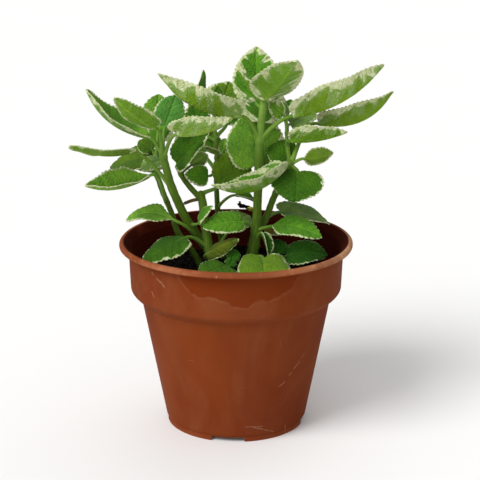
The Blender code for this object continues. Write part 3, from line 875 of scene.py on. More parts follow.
class Blade:
    """The fine form of one blade: crenate margin, folded and quilted halves, raised midrib below.

    The quilting, the roll of the margin, the ribs, the veins and their grooves are those of a blade of the
    usual width. ACROSS holds the shares of the half width at which the points of a row lie.
    """

    ACROSS = np.array((0.0, 0.035, 0.09, 0.18, 0.30, 0.44, 0.59, 0.74, 0.88, 1.0))
    SPACING = 0.55
    FEWEST_ROWS = 36
    MOST_ROWS = 150
    BASE_BLUNTNESS = 0.42
    TIP_BLUNTNESS = 0.74
    LOBE_PLACE = 0.08
    LOBE_SPREAD = 0.14
    LOBE_TURN = 0.008
    USUAL_LENGTH = 45
    USUAL_WIDTH = 26
    TOOTH_PITCH = 3.1
    TOOTH_DEPTH = 1.25
    TOOTH_DEPTH_SHARE = 0.13
    TOOTH_SIZES = (0.6, 1.15)
    TOOTH_SWAY = 0.35
    TOOTH_ROUNDNESS = 0.62
    SIDE_VEINS = 6.0
    VEIN_SWEEP = 0.62
    VEIN_BEND = 0.35
    QUILT = 0.42
    QUILT_ROUNDNESS = 0.8
    ROLL = 0.5
    WAVE = 0.022
    WAVES = (1.6, 2.6)
    BARE_TIP = 0.75
    BARE_BASE = 0.50
    FOOT_ROOM = 2.5
    SKIN_MIDDLE = 0.58
    SKIN_MARGIN = 0.30
    TIP_THINNING = 0.35
    RIM = 0.28
    RIB = 0.85
    RIB_SPREAD = 0.9
    RIB_TAPER = 0.8
    RIB_GROOVE = 0.30
    VEIN_RIDGE = 0.16
    VEIN_SPREAD = 0.07
    VEIN_GROOVE = 0.10
    MOST_SIZE = 1.2
    LONGEST = 1.25
    SEED_STEP = 13.7
    FIRST_SEED = 4200

    def __init__(self, leaf: Leaf, number: int) -> None:
        """Work out the blade's own axes.

        Args:
            leaf: The blade's place, size and looks.
            number: Its number on the plant, which seeds what is drawn at random.
        """
        self.leaf = leaf
        self.number = number
        self.draw = np.random.default_rng(self.FIRST_SEED + number)
        self.heel = np.asarray(leaf.heel, dtype=float)
        chord = np.asarray(leaf.tip, dtype=float) - self.heel
        self.length = float(np.linalg.norm(chord))
        self.size = min(leaf.width / self.USUAL_WIDTH, self.MOST_SIZE)
        self.forward = chord / self.length
        face = np.asarray(leaf.face, dtype=float)
        self.up = unit(face - self.forward * np.dot(face, self.forward))
        self.side = np.cross(self.forward, self.up)
        self.fold = math.radians(leaf.fold)
        peak = self.BASE_BLUNTNESS / (self.BASE_BLUNTNESS + self.TIP_BLUNTNESS)
        self.broadest = peak**self.BASE_BLUNTNESS * (1 - peak) ** self.TIP_BLUNTNESS

    def midrib(self, u: Array) -> Array:
        """Return the midrib's points at shares of the length."""
        u = np.atleast_1d(u)[:, None]
        return self.heel + self.forward * self.length * u + self.up * self.leaf.arch * 4 * u * (1 - u)

    def normal(self, u: Array) -> Array:
        """Return the way the upper side looks at shares of the midrib."""
        slope = self.leaf.arch * 4 * (1 - 2 * np.asarray(u)[..., None]) / self.length
        return unit(self.up - self.forward * slope)

    def half_width(self, u: Array) -> Array:
        """Return the plain half width at shares of the length."""
        outline = u**self.BASE_BLUNTNESS * (1 - u) ** self.TIP_BLUNTNESS
        return self.leaf.width / 2 * outline / self.broadest

    def plain_margin(self, u: Array) -> Tuple[Array, Array]:
        """Lay the margin without its teeth.

        Args:
            u: Shares of the length.

        Returns:
            The distances along and across the blade.
        """
        back = self.leaf.lobe * self.length * np.exp(-((u - self.LOBE_PLACE) / self.LOBE_SPREAD) ** 2)
        return self.length * u - back * (1 - np.exp(-u / self.LOBE_TURN)), self.half_width(u)

    def teeth(self, arc: Array, total: float) -> Array:
        """Cut rounded teeth.

        Args:
            arc: Distances along the margin.
            total: The margin's whole length.

        Returns:
            How far the margin draws in from the teeth's crowns.
        """
        pitch = self.TOOTH_PITCH * (0.72 + 0.28 * min(self.length / self.USUAL_LENGTH, self.LONGEST))
        sway = self.TOOTH_SWAY * np.sin(arc / total * 9.0 + self.draw.uniform(0, FULL_TURN))
        phase = arc / pitch + sway + self.draw.uniform(0, 1)
        crowns = self.draw.uniform(*self.TOOTH_SIZES, int(total / pitch) + 4)
        size = crowns[np.floor(phase + 1).astype(int)]
        shape = np.abs(np.sin(math.pi * phase)) ** self.TOOTH_ROUNDNESS
        fade = smooth_step(arc / total, 0.02, 0.14) * (1 - 0.55 * smooth_step(arc / total, 0.86, 1.0))
        depth = min(self.TOOTH_DEPTH, self.TOOTH_DEPTH_SHARE * self.leaf.width / 2)
        return depth * size * fade * (1 - shape)

    def grid(self) -> Grid:
        """Lay the blade's middle surface.

        Returns:
            The flat place along and across of each point, its wave, the share across, the half it is on,
            the share along the margin and the distance from the margin.
        """
        turn = np.linspace(0, math.pi, 900)
        dense = (1 - np.cos(turn)) / 2
        x, y = self.plain_margin(dense)
        arc = np.concatenate(([0.0], np.cumsum(np.hypot(np.diff(x), np.diff(y)))))
        rows = int(np.clip(arc[-1] / self.SPACING, self.FEWEST_ROWS, self.MOST_ROWS))
        t = np.arange(1, rows) / rows
        u = np.interp(t * arc[-1], arc, dense)
        x, y = self.plain_margin(u)
        foot = self.length * (0.5 * u + 0.5 * t)
        slant = unit(np.stack((np.gradient(x), np.gradient(y)), axis=-1))
        share = self.ACROSS[None, :]
        halves = []
        for hand in (-1, 1):
            drawn_in = self.teeth(t * arc[-1], arc[-1])[:, None] * share**5
            flat_x = foot[:, None] + (x - foot)[:, None] * share + slant[:, 1:] * drawn_in
            flat_y = y[:, None] * share - slant[:, :1] * drawn_in
            waves = self.draw.uniform(*self.WAVES)
            start = self.draw.uniform(0, FULL_TURN)
            wave = self.WAVE * self.leaf.width * share**2 * np.sin(FULL_TURN * waves * t[:, None] + start)
            halves.append((hand, flat_x, np.maximum(flat_y, 0), wave))
        joined = {}
        for name, row in (("x", 1), ("y", 2), ("wave", 3)):
            left, right = halves[0][row], halves[1][row]
            joined[name] = np.hstack((left[:, :0:-1], right))
        joined["share"] = np.hstack((self.ACROSS[:0:-1], self.ACROSS))[None, :] * np.ones((rows - 1, 1))
        joined["hand"] = np.hstack((-np.ones(len(self.ACROSS) - 1), np.ones(len(self.ACROSS))))[None, :]
        joined["hand"] = joined["hand"] * np.ones((rows - 1, 1))
        joined["t"] = t[:, None] * np.ones_like(joined["x"])
        room = y + self.FOOT_ROOM * np.exp(-((t / 0.10) ** 2))
        joined["inward"] = (1 - joined["share"]) * room[:, None]
        return joined

    def vein_phase(self, x: Array, y: Array) -> Array:
        """Number the side veins.

        Args:
            x: Distances along the blade.
            y: Distances from the midrib.

        Returns:
            A count that is whole on each side vein.
        """
        spacing = self.length / self.SIDE_VEINS
        bend = self.VEIN_BEND * y**2 / max(self.leaf.width, 1)
        return (x - self.VEIN_SWEEP * y - bend) / spacing + 0.35

    def middle(self, grid: Grid) -> Array:
        """Fold, arch, wave and quilt the blade's middle surface.

        Args:
            grid: The flat grid.

        Returns:
            The surface's points.
        """
        x, y, share = grid["x"], grid["y"], grid["share"]
        u = np.clip(x / self.length, 0, 1)
        between = np.abs(np.sin(math.pi * self.vein_phase(x, y))) ** self.QUILT_ROUNDNESS
        quilt = self.QUILT * self.size * between * 4 * share * (1 - share) ** self.QUILT_ROUNDNESS
        roll = self.ROLL * share**6 * self.size
        lift = y * math.sin(self.fold) * share**0.3 + grid["wave"] + quilt - roll
        arch = self.leaf.arch * 4 * u * (1 - u)
        across = grid["hand"] * y * math.cos(self.fold)
        return (
            self.heel + self.forward * x[..., None] + self.side * across[..., None]
            + self.up * arch[..., None] + self.normal(u) * lift[..., None]
        )

    def skins(self, grid: Grid, middle: Array) -> Tuple[Array, Array]:
        """Lay the two sides of the blade: ribs and veins are grooves above and stand out below.

        Args:
            grid: The flat grid.
            middle: The middle surface.

        Returns:
            The points of the upper and of the lower side.
        """
        y, share, t = grid["y"], grid["share"], grid["t"]
        look = unit(np.cross(np.gradient(middle, axis=1), np.gradient(middle, axis=0)))
        tip_thin = 1 - self.TIP_THINNING * t
        skin = (self.SKIN_MIDDLE + (self.SKIN_MARGIN - self.SKIN_MIDDLE) * share**2) * tip_thin
        near_rib = np.exp(-((y / self.RIB_SPREAD) ** 2))
        phase = self.vein_phase(grid["x"], y)
        vein = np.exp(-((np.abs(phase - np.round(phase)) / self.VEIN_SPREAD) ** 2)) * 4 * share * (1 - share)
        rib = self.RIB * self.size * near_rib * (1 - self.RIB_TAPER * t) + self.VEIN_RIDGE * self.size * vein
        grooves = (self.RIB_GROOVE * self.size * near_rib, self.VEIN_GROOVE * self.size * vein)
        upper = middle + look * (skin - grooves[0] - grooves[1])[..., None]
        return upper, middle - look * (skin + rib)[..., None]

    @staticmethod
    def around(upper: Array, rims: Sequence[Array], lower: Array) -> Array:
        """Join rows in the order of the rings: the upper side, a rim, the lower side and the other rim."""
        return np.concatenate((upper, rims[0], lower[:, ::-1], rims[1]), axis=1)

    def shader_values(self, grid: Grid) -> Dict[str, Sequence[float]]:
        """Work out what the leaf material reads.

        Args:
            grid: The flat grid.

        Returns:
            The named vectors, arranged as the rings are.
        """
        x, y, t, hand = grid["x"], grid["y"], grid["t"], grid["hand"]
        seed = self.number * self.SEED_STEP
        place = np.stack((x, hand * y, np.full_like(x, seed)), axis=-1)
        streak = np.stack((self.vein_phase(x, y), y, seed + 3 * hand), axis=-1)
        widths = np.where(hand > 0, self.leaf.cream[0], self.leaf.cream[1])
        bare = self.BARE_TIP * smooth_step(t, 0.90, 0.985) + self.BARE_BASE * np.exp(-((t / 0.12) ** 2))
        widths = widths * (1 - smooth_step(widths, 1.6, 2.6) * bare)
        top, bottom, half = (
            np.stack((grid["inward"], widths, np.full_like(x, upper)), axis=-1) for upper in (1.0, 0.0, 0.5)
        )
        return {
            "place": self.around(place, (place[:, -1:], place[:, :1]), place),
            "streak": self.around(streak, (streak[:, -1:], streak[:, :1]), streak),
            "edge": self.around(top, (half[:, -1:], half[:, :1]), bottom),
            "tone": self.leaf.tone.value,
        }

    def add_to(self, draft: Draft) -> Array:
        """Add the blade to a draft.

        Args:
            draft: The draft that gathers the stem's blades.

        Returns:
            Points and outward directions on its edge, one pair a row, for hairs.
        """
        grid = self.grid()
        middle = self.middle(grid)
        upper, lower = self.skins(grid, middle)
        rims, hair_places = [], []
        for edge, inner in ((-1, -2), (0, 1)):
            rim = middle[:, edge] + self.RIM * unit(middle[:, edge] - middle[:, inner])
            rims.append(rim[:, None])
            hair_places.append(np.concatenate((rim, rim - middle[:, edge]), axis=-1))
        ends = (self.midrib(np.zeros(1))[0] - self.forward * 0.1, self.midrib(np.ones(1))[0])
        draft.add_rings(self.around(upper, rims, lower), ends, **self.shader_values(grid))
        return np.vstack(hair_places)


class Stalks:
    """Tubes of one leafy stem: its stem, side branches and leaf stalks, with places for their hairs."""

    STEM_SIDES = 20
    STALK_SIDES = 12
    STALK_RADIUS = 0.85
    STALK_RADIUS_PER_WIDTH = 0.022
    STALK_TAPER = 0.3
    STALK_FLARE = 0.35
    STALK_FLARE_SPREAD = 0.16
    STALK_HANDLE = 0.3
    STALK_RISE = 0.08
    STALK_POINTS = 15
    STALK_BLUNT = 0.3
    STALK_SHADE = 0.85
    STALK_GREENING = 0.7
    SUNK_PLACES = (0.03, 0.08, 0.14, 0.20)
    SUNK_RADII = (0.85, 0.62, 0.40)
    STEM_POINTS_PER_SPAN = 10
    STEM_CORNERS = 0.045
    STEM_BLUNT = 0.8
    GIRTH_SWAY = 0.025
    GIRTH_WAVES = 1.3
    ROOT_POINTS = 4
    END_NARROWING = 0.72
    END_REACH = 0.6
    NODE_SWELLING = 0.16
    NODE_SPREAD = 1.6
    NODE_DROP = 0.4
    HAIRS_PER_AREA = 0.75
    SEED_STEP = 9.1
    FIRST_SEED = 900
    FIRST_ACROSS: Point = (0.31, 0.95, 0.02)
    BARK: Colour = (0.165, 0.295, 0.045)
    # Darker towards the bottom: partly older bark, partly painted shade under the leaves
    OLD_SHADED_BARK: Colour = (0.062, 0.125, 0.007)
    WITHERED_BARK: Colour = (0.130, 0.080, 0.025)
    YOUNG_LIT_HEIGHT = 205.0
    OLD_SHADED_HEIGHT = 160.0

    def __init__(self, number: int) -> None:
        """Start with no tubes.

        Args:
            number: The stem's number, which seeds what is drawn at random.
        """
        self.draft = Draft()
        self.draw = np.random.default_rng(self.FIRST_SEED + number)
        self.number = number
        self.hair_roots: List[Array] = []

    def tube(self, path: Array, radii: Array, sides: int, tones: Array, corners: float,
             blunt: float) -> None:
        """Add a tube with rounded ends.

        Args:
            path: Points on the tube's axis.
            radii: Its radius at each of them.
            sides: Points a ring.
            tones: The bark's colour at each of the axis points.
            corners: How square its section is, as a share of the radius.
            blunt: How far past the last axis point the end is rounded, as a share of the radius.
        """
        along = unit(np.gradient(path, axis=0))
        turn = turns(sides)
        across = unit(np.cross(along[0], self.FIRST_ACROSS))
        rings = []
        walked = np.concatenate(([0.0], np.cumsum(np.linalg.norm(np.diff(path, axis=0), axis=1))))
        places = []
        for centre, radius, forward, far in zip(path, radii, along, walked):
            across = unit(across - forward * np.dot(across, forward))
            other = np.cross(forward, across)
            reach = radius * (1 + corners * np.cos(4 * turn))
            direction = np.cos(turn)[:, None] * across + np.sin(turn)[:, None] * other
            rings.append(centre + direction * reach[:, None])
            seed = self.number * self.SEED_STEP
            places.append(np.stack((turn * radius, np.full(sides, far), np.full(sides, seed)), axis=-1))
        end = path[-1] + along[-1] * radii[-1] * blunt
        narrowed = path[-1] + (rings[-1] - path[-1]) * self.END_NARROWING
        rings.append(narrowed + along[-1] * radii[-1] * blunt * self.END_REACH)
        places.append(places[-1])
        tones = np.vstack((tones, tones[-1:]))
        rings = np.array(rings)
        shades = np.repeat(tones[:, None, :], sides, axis=1)
        self.draft.add_rings(rings, (path[0], end), place=np.array(places), tone=shades)
        area = walked[-1] * 2 * math.pi * float(np.mean(radii))
        self.note_hairs(path, rings, int(area * self.HAIRS_PER_AREA))

    def note_hairs(self, path: Array, rings: Array, count: int) -> None:
        """Draw the places of the hairs on a tube.

        Args:
            path: Points on the tube's axis.
            rings: Its rings, the first ones round those points.
            count: The number of hairs.
        """
        pick = self.draw.uniform(0, 1, (count, 2))
        row = np.minimum((pick[:, 0] * (len(path) - 1)).astype(int), len(path) - 2)
        spot = (pick[:, 1] * rings.shape[1]).astype(int)
        slide = self.draw.uniform(0, 1, len(pick))[:, None]
        root = rings[row, spot] * (1 - slide) + rings[row + 1, spot] * slide
        centre = path[row] * (1 - slide) + path[row + 1] * slide
        self.hair_roots.append(np.hstack((root, unit(root - centre))))

    def add_stem(self, stem: Stem) -> Array:
        """Add a stem or side branch, swollen where its leaves leave it.

        Args:
            stem: The stem.

        Returns:
            The points on its axis.
        """
        rooted = stem.path[0][2] == ROOT_END_HEIGHT
        rising = stem.path[1:] if rooted else stem.path
        girth = stem.girth[1:] if rooted else stem.girth
        path = curve_through(rising, self.STEM_POINTS_PER_SPAN)
        radii = curve_through([(radius,) for radius in girth], self.STEM_POINTS_PER_SPAN)[:, 0]
        if rooted:
            depth = np.linspace(0, 1, self.ROOT_POINTS + 1)[:-1, None]
            path = np.vstack((np.asarray(stem.path[0]) * (1 - depth) + path[0] * depth, path))
            radii = np.concatenate((np.full(self.ROOT_POINTS, stem.girth[0]), radii))
        for leaf in stem.leaves:
            near = np.exp(-((path[:, 2] - leaf.at + self.NODE_DROP) / self.NODE_SPREAD) ** 2)
            radii = radii * (1 + self.NODE_SWELLING * near / (1 + radii / 4))
        radii = radii * (1 + self.GIRTH_SWAY * np.sin(path[:, 2] * self.GIRTH_WAVES + self.number))
        # The bark darkens from the young height down to the old one: older bark with painted shade under the
        # leaves
        age_and_shade = smooth_step(path[:, 2], self.YOUNG_LIT_HEIGHT, self.OLD_SHADED_HEIGHT)[:, None]
        tones = np.asarray(self.BARK) * (1 - age_and_shade) + np.asarray(self.OLD_SHADED_BARK) * age_and_shade
        if stem.withered:
            tones = np.broadcast_to(np.asarray(self.WITHERED_BARK), tones.shape)
        self.tube(path, radii, self.STEM_SIDES, tones, self.STEM_CORNERS, self.STEM_BLUNT)
        return path

    def add_stalk(self, blade: Blade, stem_path: Array) -> None:
        """Add the stalk of a blade, from the stem's axis to inside the blade.

        Args:
            blade: The blade.
            stem_path: Points on the axis of the stem that carries it.
        """
        leaf = blade.leaf
        low = int(np.clip(np.searchsorted(stem_path[:, 2], leaf.at), 1, len(stem_path) - 1))
        below, above = stem_path[low - 1], stem_path[low]
        rise = above[2] - below[2]
        start = below + (above - below) * (min(max((leaf.at - below[2]) / rise, 0), 1) if rise > 1e-6 else 0)
        way = blade.heel - start
        reach = float(np.linalg.norm(way))
        arrive = unit(blade.midrib(np.array((0.05,)))[0] - blade.heel)
        leave = start + self.STALK_HANDLE * way + np.array((0, 0, self.STALK_RISE * reach))
        enter = blade.heel - self.STALK_HANDLE * reach * arrive
        t = np.linspace(0, 1, self.STALK_POINTS)[:, None]
        path = (
            start * (1 - t) ** 3 + leave * 3 * t * (1 - t) ** 2
            + enter * 3 * t**2 * (1 - t) + blade.heel * t**3
        )
        root = self.STALK_RADIUS + self.STALK_RADIUS_PER_WIDTH * leaf.width
        t = t[:, 0]
        flare = self.STALK_FLARE * np.exp(-((t / self.STALK_FLARE_SPREAD) ** 2))
        radii = root * (1 - self.STALK_TAPER * t) * (1 + flare)
        inside = np.array(self.SUNK_PLACES)
        drop = (0.05 + 0.30 * (1 - inside / 0.2))[:, None]
        path = np.vstack((path, blade.midrib(inside) - blade.normal(inside) * drop))
        radii = np.concatenate((radii, (0.92 * radii[-1], *self.SUNK_RADII)))
        pale = np.asarray(self.BARK) * self.STALK_SHADE
        share = np.concatenate((t, np.ones(len(inside))))[:, None]
        # The stalk takes on its leaf's green, so the painted shade and painted light of some leaf greens
        # reach their stalks too
        green = np.asarray(leaf.tone.value) * 1.1
        tones = pale * (1 - self.STALK_GREENING * share) + green * self.STALK_GREENING * share
        self.tube(path, radii, self.STALK_SIDES, tones, 0.0, self.STALK_BLUNT)


class LeafyStem:
    """One leafy stem as it grew: its tubes in one piece, the blades of each stem or branch in another."""

    HAIRY_SHARE = 0.6

    def __init__(self, node: str, stems: Tuple[Stem, ...], number: int) -> None:
        """Keep what the stem is made of.

        Args:
            node: The CAD node that the pieces stand for.
            stems: The main stem and its side branches.
            number: The stem's number on the plant.
        """
        self.node = node
        self.stems = stems
        self.number = number
        self.hair_roots: List[Array] = []

    def build(self, leaf_skin: Material, stalk_skin: Material) -> List[Piece]:
        """Build and place the pieces.

        Args:
            leaf_skin: The blades' material.
            stalk_skin: The material of stems and stalks.

        Returns:
            The pieces.
        """
        stalks = Stalks(self.number)
        pieces = []
        for place, stem in enumerate(self.stems):
            path = stalks.add_stem(stem)
            blades = Draft()
            for number, leaf in enumerate(stem.leaves):
                blade = Blade(leaf, 100 * self.number + 30 * place + number)
                edge = blade.add_to(blades)
                keep = blade.draw.uniform(0, 1, len(edge)) < self.HAIRY_SHARE
                self.hair_roots.append(edge[keep])
                stalks.add_stalk(blade, path)
            if stem.leaves:
                pieces.append(blades.build(f"{self.node}_blades_{place}", leaf_skin))
        pieces.append(stalks.draft.build(f"{self.node}_stalks", stalk_skin))
        self.hair_roots.extend(stalks.hair_roots)
        for piece in pieces:
            settle(piece, "leaf", self.node)
        return pieces


class HairCoat:
    """Short closed spikes that make the down on stems, stalks and leaf edges."""

    LENGTHS = (0.35, 0.80)
    RADIUS = 0.040
    SUNK = 0.12
    LEAN = 0.45
    MOST = 38000

    def build(self, roots: Array, finish: Material) -> Piece:
        """Build the coat as one piece.

        Args:
            roots: Hair roots and their outward directions, one pair a row.
            finish: The hairs' material.

        Returns:
            The piece.
        """
        draw = np.random.default_rng(77)
        if len(roots) > self.MOST:
            roots = roots[draw.permutation(len(roots))[: self.MOST]]
        root, out = roots[:, :3], unit(roots[:, 3:])
        lean = unit(out + draw.normal(0, self.LEAN, out.shape))
        size = draw.uniform(*self.LENGTHS, len(roots))[:, None]
        across = unit(np.cross(lean, (0.31, 0.72, 0.62)))
        other = np.cross(lean, across)
        base = root - lean * self.SUNK
        corners = []
        for corner in range(3):
            turn = 2 * math.pi * corner / 3
            corners.append(base + self.RADIUS * (math.cos(turn) * across + math.sin(turn) * other))
        points = np.stack((*corners, root + lean * size), axis=1).reshape(-1, 3)
        first = (np.arange(len(roots)) * 4)[:, None]
        faces = [first + np.array(face) for face in ((0, 1, 3), (1, 2, 3), (2, 0, 3), (0, 2, 1))]
        heights = np.tile(np.array(((0, 0, 0), (0, 0, 0), (0, 0, 0), (1, 0, 0))), (len(roots), 1))
        draft = Draft()
        draft.add(points, faces, place=heights)
        return draft.build("down", finish)


@dataclass(frozen=True)
class Pot:
    """Thin moulded nursery pot with a rolled lip, a ridged collar, a step and a notched foot."""

    height: float
    lip_radius: float
    lip_inner_radius: float = 71.3
    lip_depth: float = 3.8
    collar_top_radius: float = 69.1
    collar_foot_radius: float = 68.0
    collar_foot_height: float = 90.6
    step_height: float = 84.4
    body_top_radius: float = 61.3
    body_foot_radius: float = 46.2
    wall: float = 1.3
    foot_height: float = 4.0
    foot_radius: float = 45.1
    foot_width: float = 2.2
    floor_thickness: float = 1.6
    notches: int = 4
    notch_width: float = 23.0
    notch_height: float = 3.0
    notch_slope: float = 1.2
    notch_first_angle: float = -97.0
    drain_hole_radius: float = 4.5
    drain_hole_ring_radius: float = 30.0
    drain_hole_sides: int = 36
    ridge_pitch: float = 1.45
    ridge_height: float = 0.30
    ridge_points: int = 6
    corner_share: float = 0.48
    corner_points: int = 6
    out_of_round: float = 0.0016
    lip_sway: float = 0.22
    sway_starts: Pair = (70.0, 112.0)
    nicks: Tuple[Pair, ...] = ((-54, 1.0), (-100, 0.5), (-128, 0.6), (62, 0.7))
    more_nicks: int = 9
    more_nick_sizes: Pair = (0.3, 0.6)
    nick_width: float = 1.6
    nick_depth: float = 0.55
    nick_drop: float = 0.8
    nick_aim: float = 30.0
    foot_wear: float = 0.5
    foot_wear_height: float = 1.2
    sharp_edge: float = 38.0
    segments: int = 288

    def rounded(self, corners: Sequence[Point]) -> List[Pair]:
        """Round the corners of an outline.

        Args:
            corners: Radius, height and rounding of each corner.

        Returns:
            The rounded outline's points.
        """
        points = [corners[0][:2]]
        for before, corner, after in zip(corners, corners[1:], corners[2:]):
            here = np.array(corner[:2])
            ways = [np.array(end[:2]) - here for end in (before, after)]
            sizes = [float(np.linalg.norm(way)) for way in ways]
            if corner[2] == 0:
                points.append(tuple(here))
                continue
            reach = min(corner[2], self.corner_share * sizes[0], self.corner_share * sizes[1])
            start, end = (here + way / size * reach for way, size in zip(ways, sizes))
            for t in np.linspace(0, 1, self.corner_points):
                points.append(tuple(start * (1 - t) ** 2 + here * 2 * t * (1 - t) + end * t**2))
        points.append(corners[-1][:2])
        return points

    def outer_wall(self) -> List[Pair]:
        """Lay the outline of the outside.

        Returns:
            Its points, from the foot up to the lip's crown.
        """
        top, step = self.height, self.step_height
        return self.rounded((
            (self.foot_radius, 0.0, 0.0),
            (self.foot_radius, self.foot_height, 0.3),
            (self.body_foot_radius - 0.3, self.foot_height + 0.3, 0.4),
            (self.body_foot_radius, self.foot_height + 1.8, 0.8),
            (self.body_top_radius, step, 0.5),
            (self.body_top_radius + 2.8, step + 1.8, 2.0),
            (self.body_top_radius + 5.4, step + 4.2, 2.0),
            (self.collar_foot_radius, self.collar_foot_height, 2.5),
            (self.collar_top_radius, top - self.lip_depth - 1.6, 1.2),
            (self.collar_top_radius + 1.4, top - self.lip_depth, 0.6),
            (self.lip_radius - 0.5, top - self.lip_depth, 0.5),
            (self.lip_radius, top - self.lip_depth + 0.8, 0.5),
            (self.lip_radius, top - 1.3, 0.9),
            (self.lip_radius - 1.2, top - 0.1, 0.7),
            (self.lip_inner_radius + 1.4, top, 0.0),
        ))

    def ridge_run(self) -> Tuple[Pair, Pair, int]:
        """Say where the collar's ridges run.

        Returns:
            Radius and height of their lower and of their upper end, and their number.
        """
        low = (self.collar_foot_radius - self.wall, self.collar_foot_height + 0.9)
        high = (self.collar_top_radius - self.wall, self.height - self.lip_depth - 1.0)
        return low, high, round((high[1] - low[1]) / self.ridge_pitch)

    def ridge(self, height: Array) -> Array:
        """Say how far up a ridge each height is.

        Args:
            height: Heights on the inside.

        Returns:
            0 in a groove, 1 on a crown, and 0 off the ridges.
        """
        low, high, ridges = self.ridge_run()
        share = np.clip((high[1] - height) / (high[1] - low[1]), 0, 1)
        return 0.5 - 0.5 * np.cos(2 * math.pi * ridges * share)

    def inner_wall(self) -> List[Pair]:
        """Lay the outline of the inside.

        Returns:
            Its points, from the lip's crown down over the ridges to the floor.
        """
        low, high, count = self.ridge_run()
        ridges = []
        for share in np.linspace(1, 0, self.ridge_points * count + 1):
            radius = low[0] + (high[0] - low[0]) * share
            height = low[1] + (high[1] - low[1]) * share
            ridges.append((radius - self.ridge_height * float(self.ridge(height)), height, 0.0))
        step_top = self.step_height
        return self.rounded((
            (self.lip_inner_radius + 1.4, self.height, 0.0),
            (self.lip_inner_radius, self.height - 0.9, 0.8),
            *ridges,
            (self.body_top_radius + 4.3, step_top + 5.2, 1.5),
            (self.body_top_radius + 2.0, step_top + 3.0, 1.5),
            (self.body_top_radius - self.wall, step_top + 0.2, 1.5),
            (self.body_foot_radius - self.wall, self.foot_height + self.floor_thickness, 1.0),
            (self.body_foot_radius - self.wall - 3, self.foot_height + self.floor_thickness, 0.0),
        ))

    def build(self, finish: Material) -> Piece:
        """Build the pot.

        Args:
            finish: Its material.

        Returns:
            The piece.
        """
        foot_inner = self.foot_radius - self.foot_width
        outer, inner = self.outer_wall(), self.inner_wall()
        middle = (0.01, self.foot_height, 0)
        under = self.rounded((middle, (foot_inner, self.foot_height, 0.6), (foot_inner, 0, 0)))
        profile = np.array(under[1:] + outer + inner[1:])
        walls = len(under) - 1 + len(outer)
        turn = -turns(self.segments)
        high, highest = (smooth_step(profile[:, 1:], start, self.height) for start in self.sway_starts)
        radius = profile[:, :1] * (1 + self.out_of_round * np.cos(2 * turn + 0.7) * high)
        height = profile[:, 1:] + self.lip_sway * np.sin(3 * turn + 1.1) * highest
        rings = np.stack((radius * np.cos(turn), radius * np.sin(turn), height), axis=-1)
        rings = self.dented(rings)
        ends = ((0, 0, self.foot_height), (0, 0, self.foot_height + self.floor_thickness))
        draft = Draft()
        draft.add_rings(rings, ends)
        pot = draft.build("pot_shell", finish)
        self.cut_foot(pot)
        self.note_wear_and_shading(pot.data, profile, walls)
        pot.data.shade_smooth()
        pot.data.set_sharp_from_angle(angle=math.radians(self.sharp_edge))
        settle(pot, "pot", "pot")
        return pot

    def note_wear_and_shading(self, mesh: bpy.types.Mesh, profile: Array, walls: int) -> None:
        """Write the wear attribute: edge wear, which also places the lip's painted highlight, the height, and
        0 outside, 1 inside or up to 2 on a ridge, which places the painted shade and light inside.

        Args:
            mesh: The pot's mesh, with its holes cut.
            profile: The outline that was turned.
            walls: The number of its points that lie outside.
        """
        lip_foot = self.height - self.lip_depth
        edge = smooth_step(profile[:, 1], lip_foot + 0.2, lip_foot + 1.0)
        foot = self.foot_wear * np.exp(-(profile[:, 1] / self.foot_wear_height) ** 2)
        edge = np.clip(edge + foot, 0, 1)
        inside = (np.arange(len(profile)) >= walls) * (profile[:, 1] < self.height - 0.2)
        rows = np.stack((edge, profile[:, 1], inside * (1 + self.ridge(profile[:, 1]))), axis=-1)
        outline = KDTree(len(profile))
        for number, (radius, height) in enumerate(profile):
            outline.insert((radius, 0.0, height), number)
        outline.balance()
        nearest = []
        for vertex in mesh.vertices:
            x, y, height = vertex.co / MM
            nearest.append(outline.find((math.hypot(x, y), 0.0, height))[1])
        layer = mesh.attributes.new("wear", "FLOAT_VECTOR", "POINT")
        layer.data.foreach_set("vector", rows[nearest].astype(np.float32).ravel())

    def dented(self, rings: Array) -> Array:
        """Nick the lip here and there.

        Args:
            rings: The lathed points.

        Returns:
            The points with the nicks pressed in.
        """
        draw = np.random.default_rng(5)
        places = [(math.radians(angle), size) for angle, size in self.nicks]
        for _ in range(self.more_nicks):
            places.append((draw.uniform(0, 2 * math.pi), draw.uniform(*self.more_nick_sizes)))
        for angle, size in places:
            x, y = self.lip_radius * math.cos(angle), self.lip_radius * math.sin(angle)
            centre = np.array((x, y, self.height - self.nick_drop))
            away = np.linalg.norm(rings - centre, axis=-1, keepdims=True)
            outward = unit(centre - (0, 0, self.height - self.nick_aim))
            near = np.exp(-((away / (self.nick_width * size)) ** 2))
            rings = rings - near * self.nick_depth * size * outward
        return rings

    def notch_cutter(self, way: Array) -> Array:
        """Lay out the block that cuts a drain notch.

        Args:
            way: The direction of the notch from the pot's axis.

        Returns:
            Its inner and its outer ring of corners.
        """
        middle = self.foot_radius - self.foot_width / 2
        across = np.array((-way[1], way[0], 0.0))
        half = across * self.notch_width / 2
        high = np.array((0, 0, self.notch_height))
        slope = across * self.notch_slope
        rings = []
        for far in (-1, 1):
            centre = way * (middle + far * 2 * self.foot_width)
            rings.append((centre - half - high, centre + half - high, centre + half - slope + high,
                          centre - half + slope + high))
        return np.array(rings)

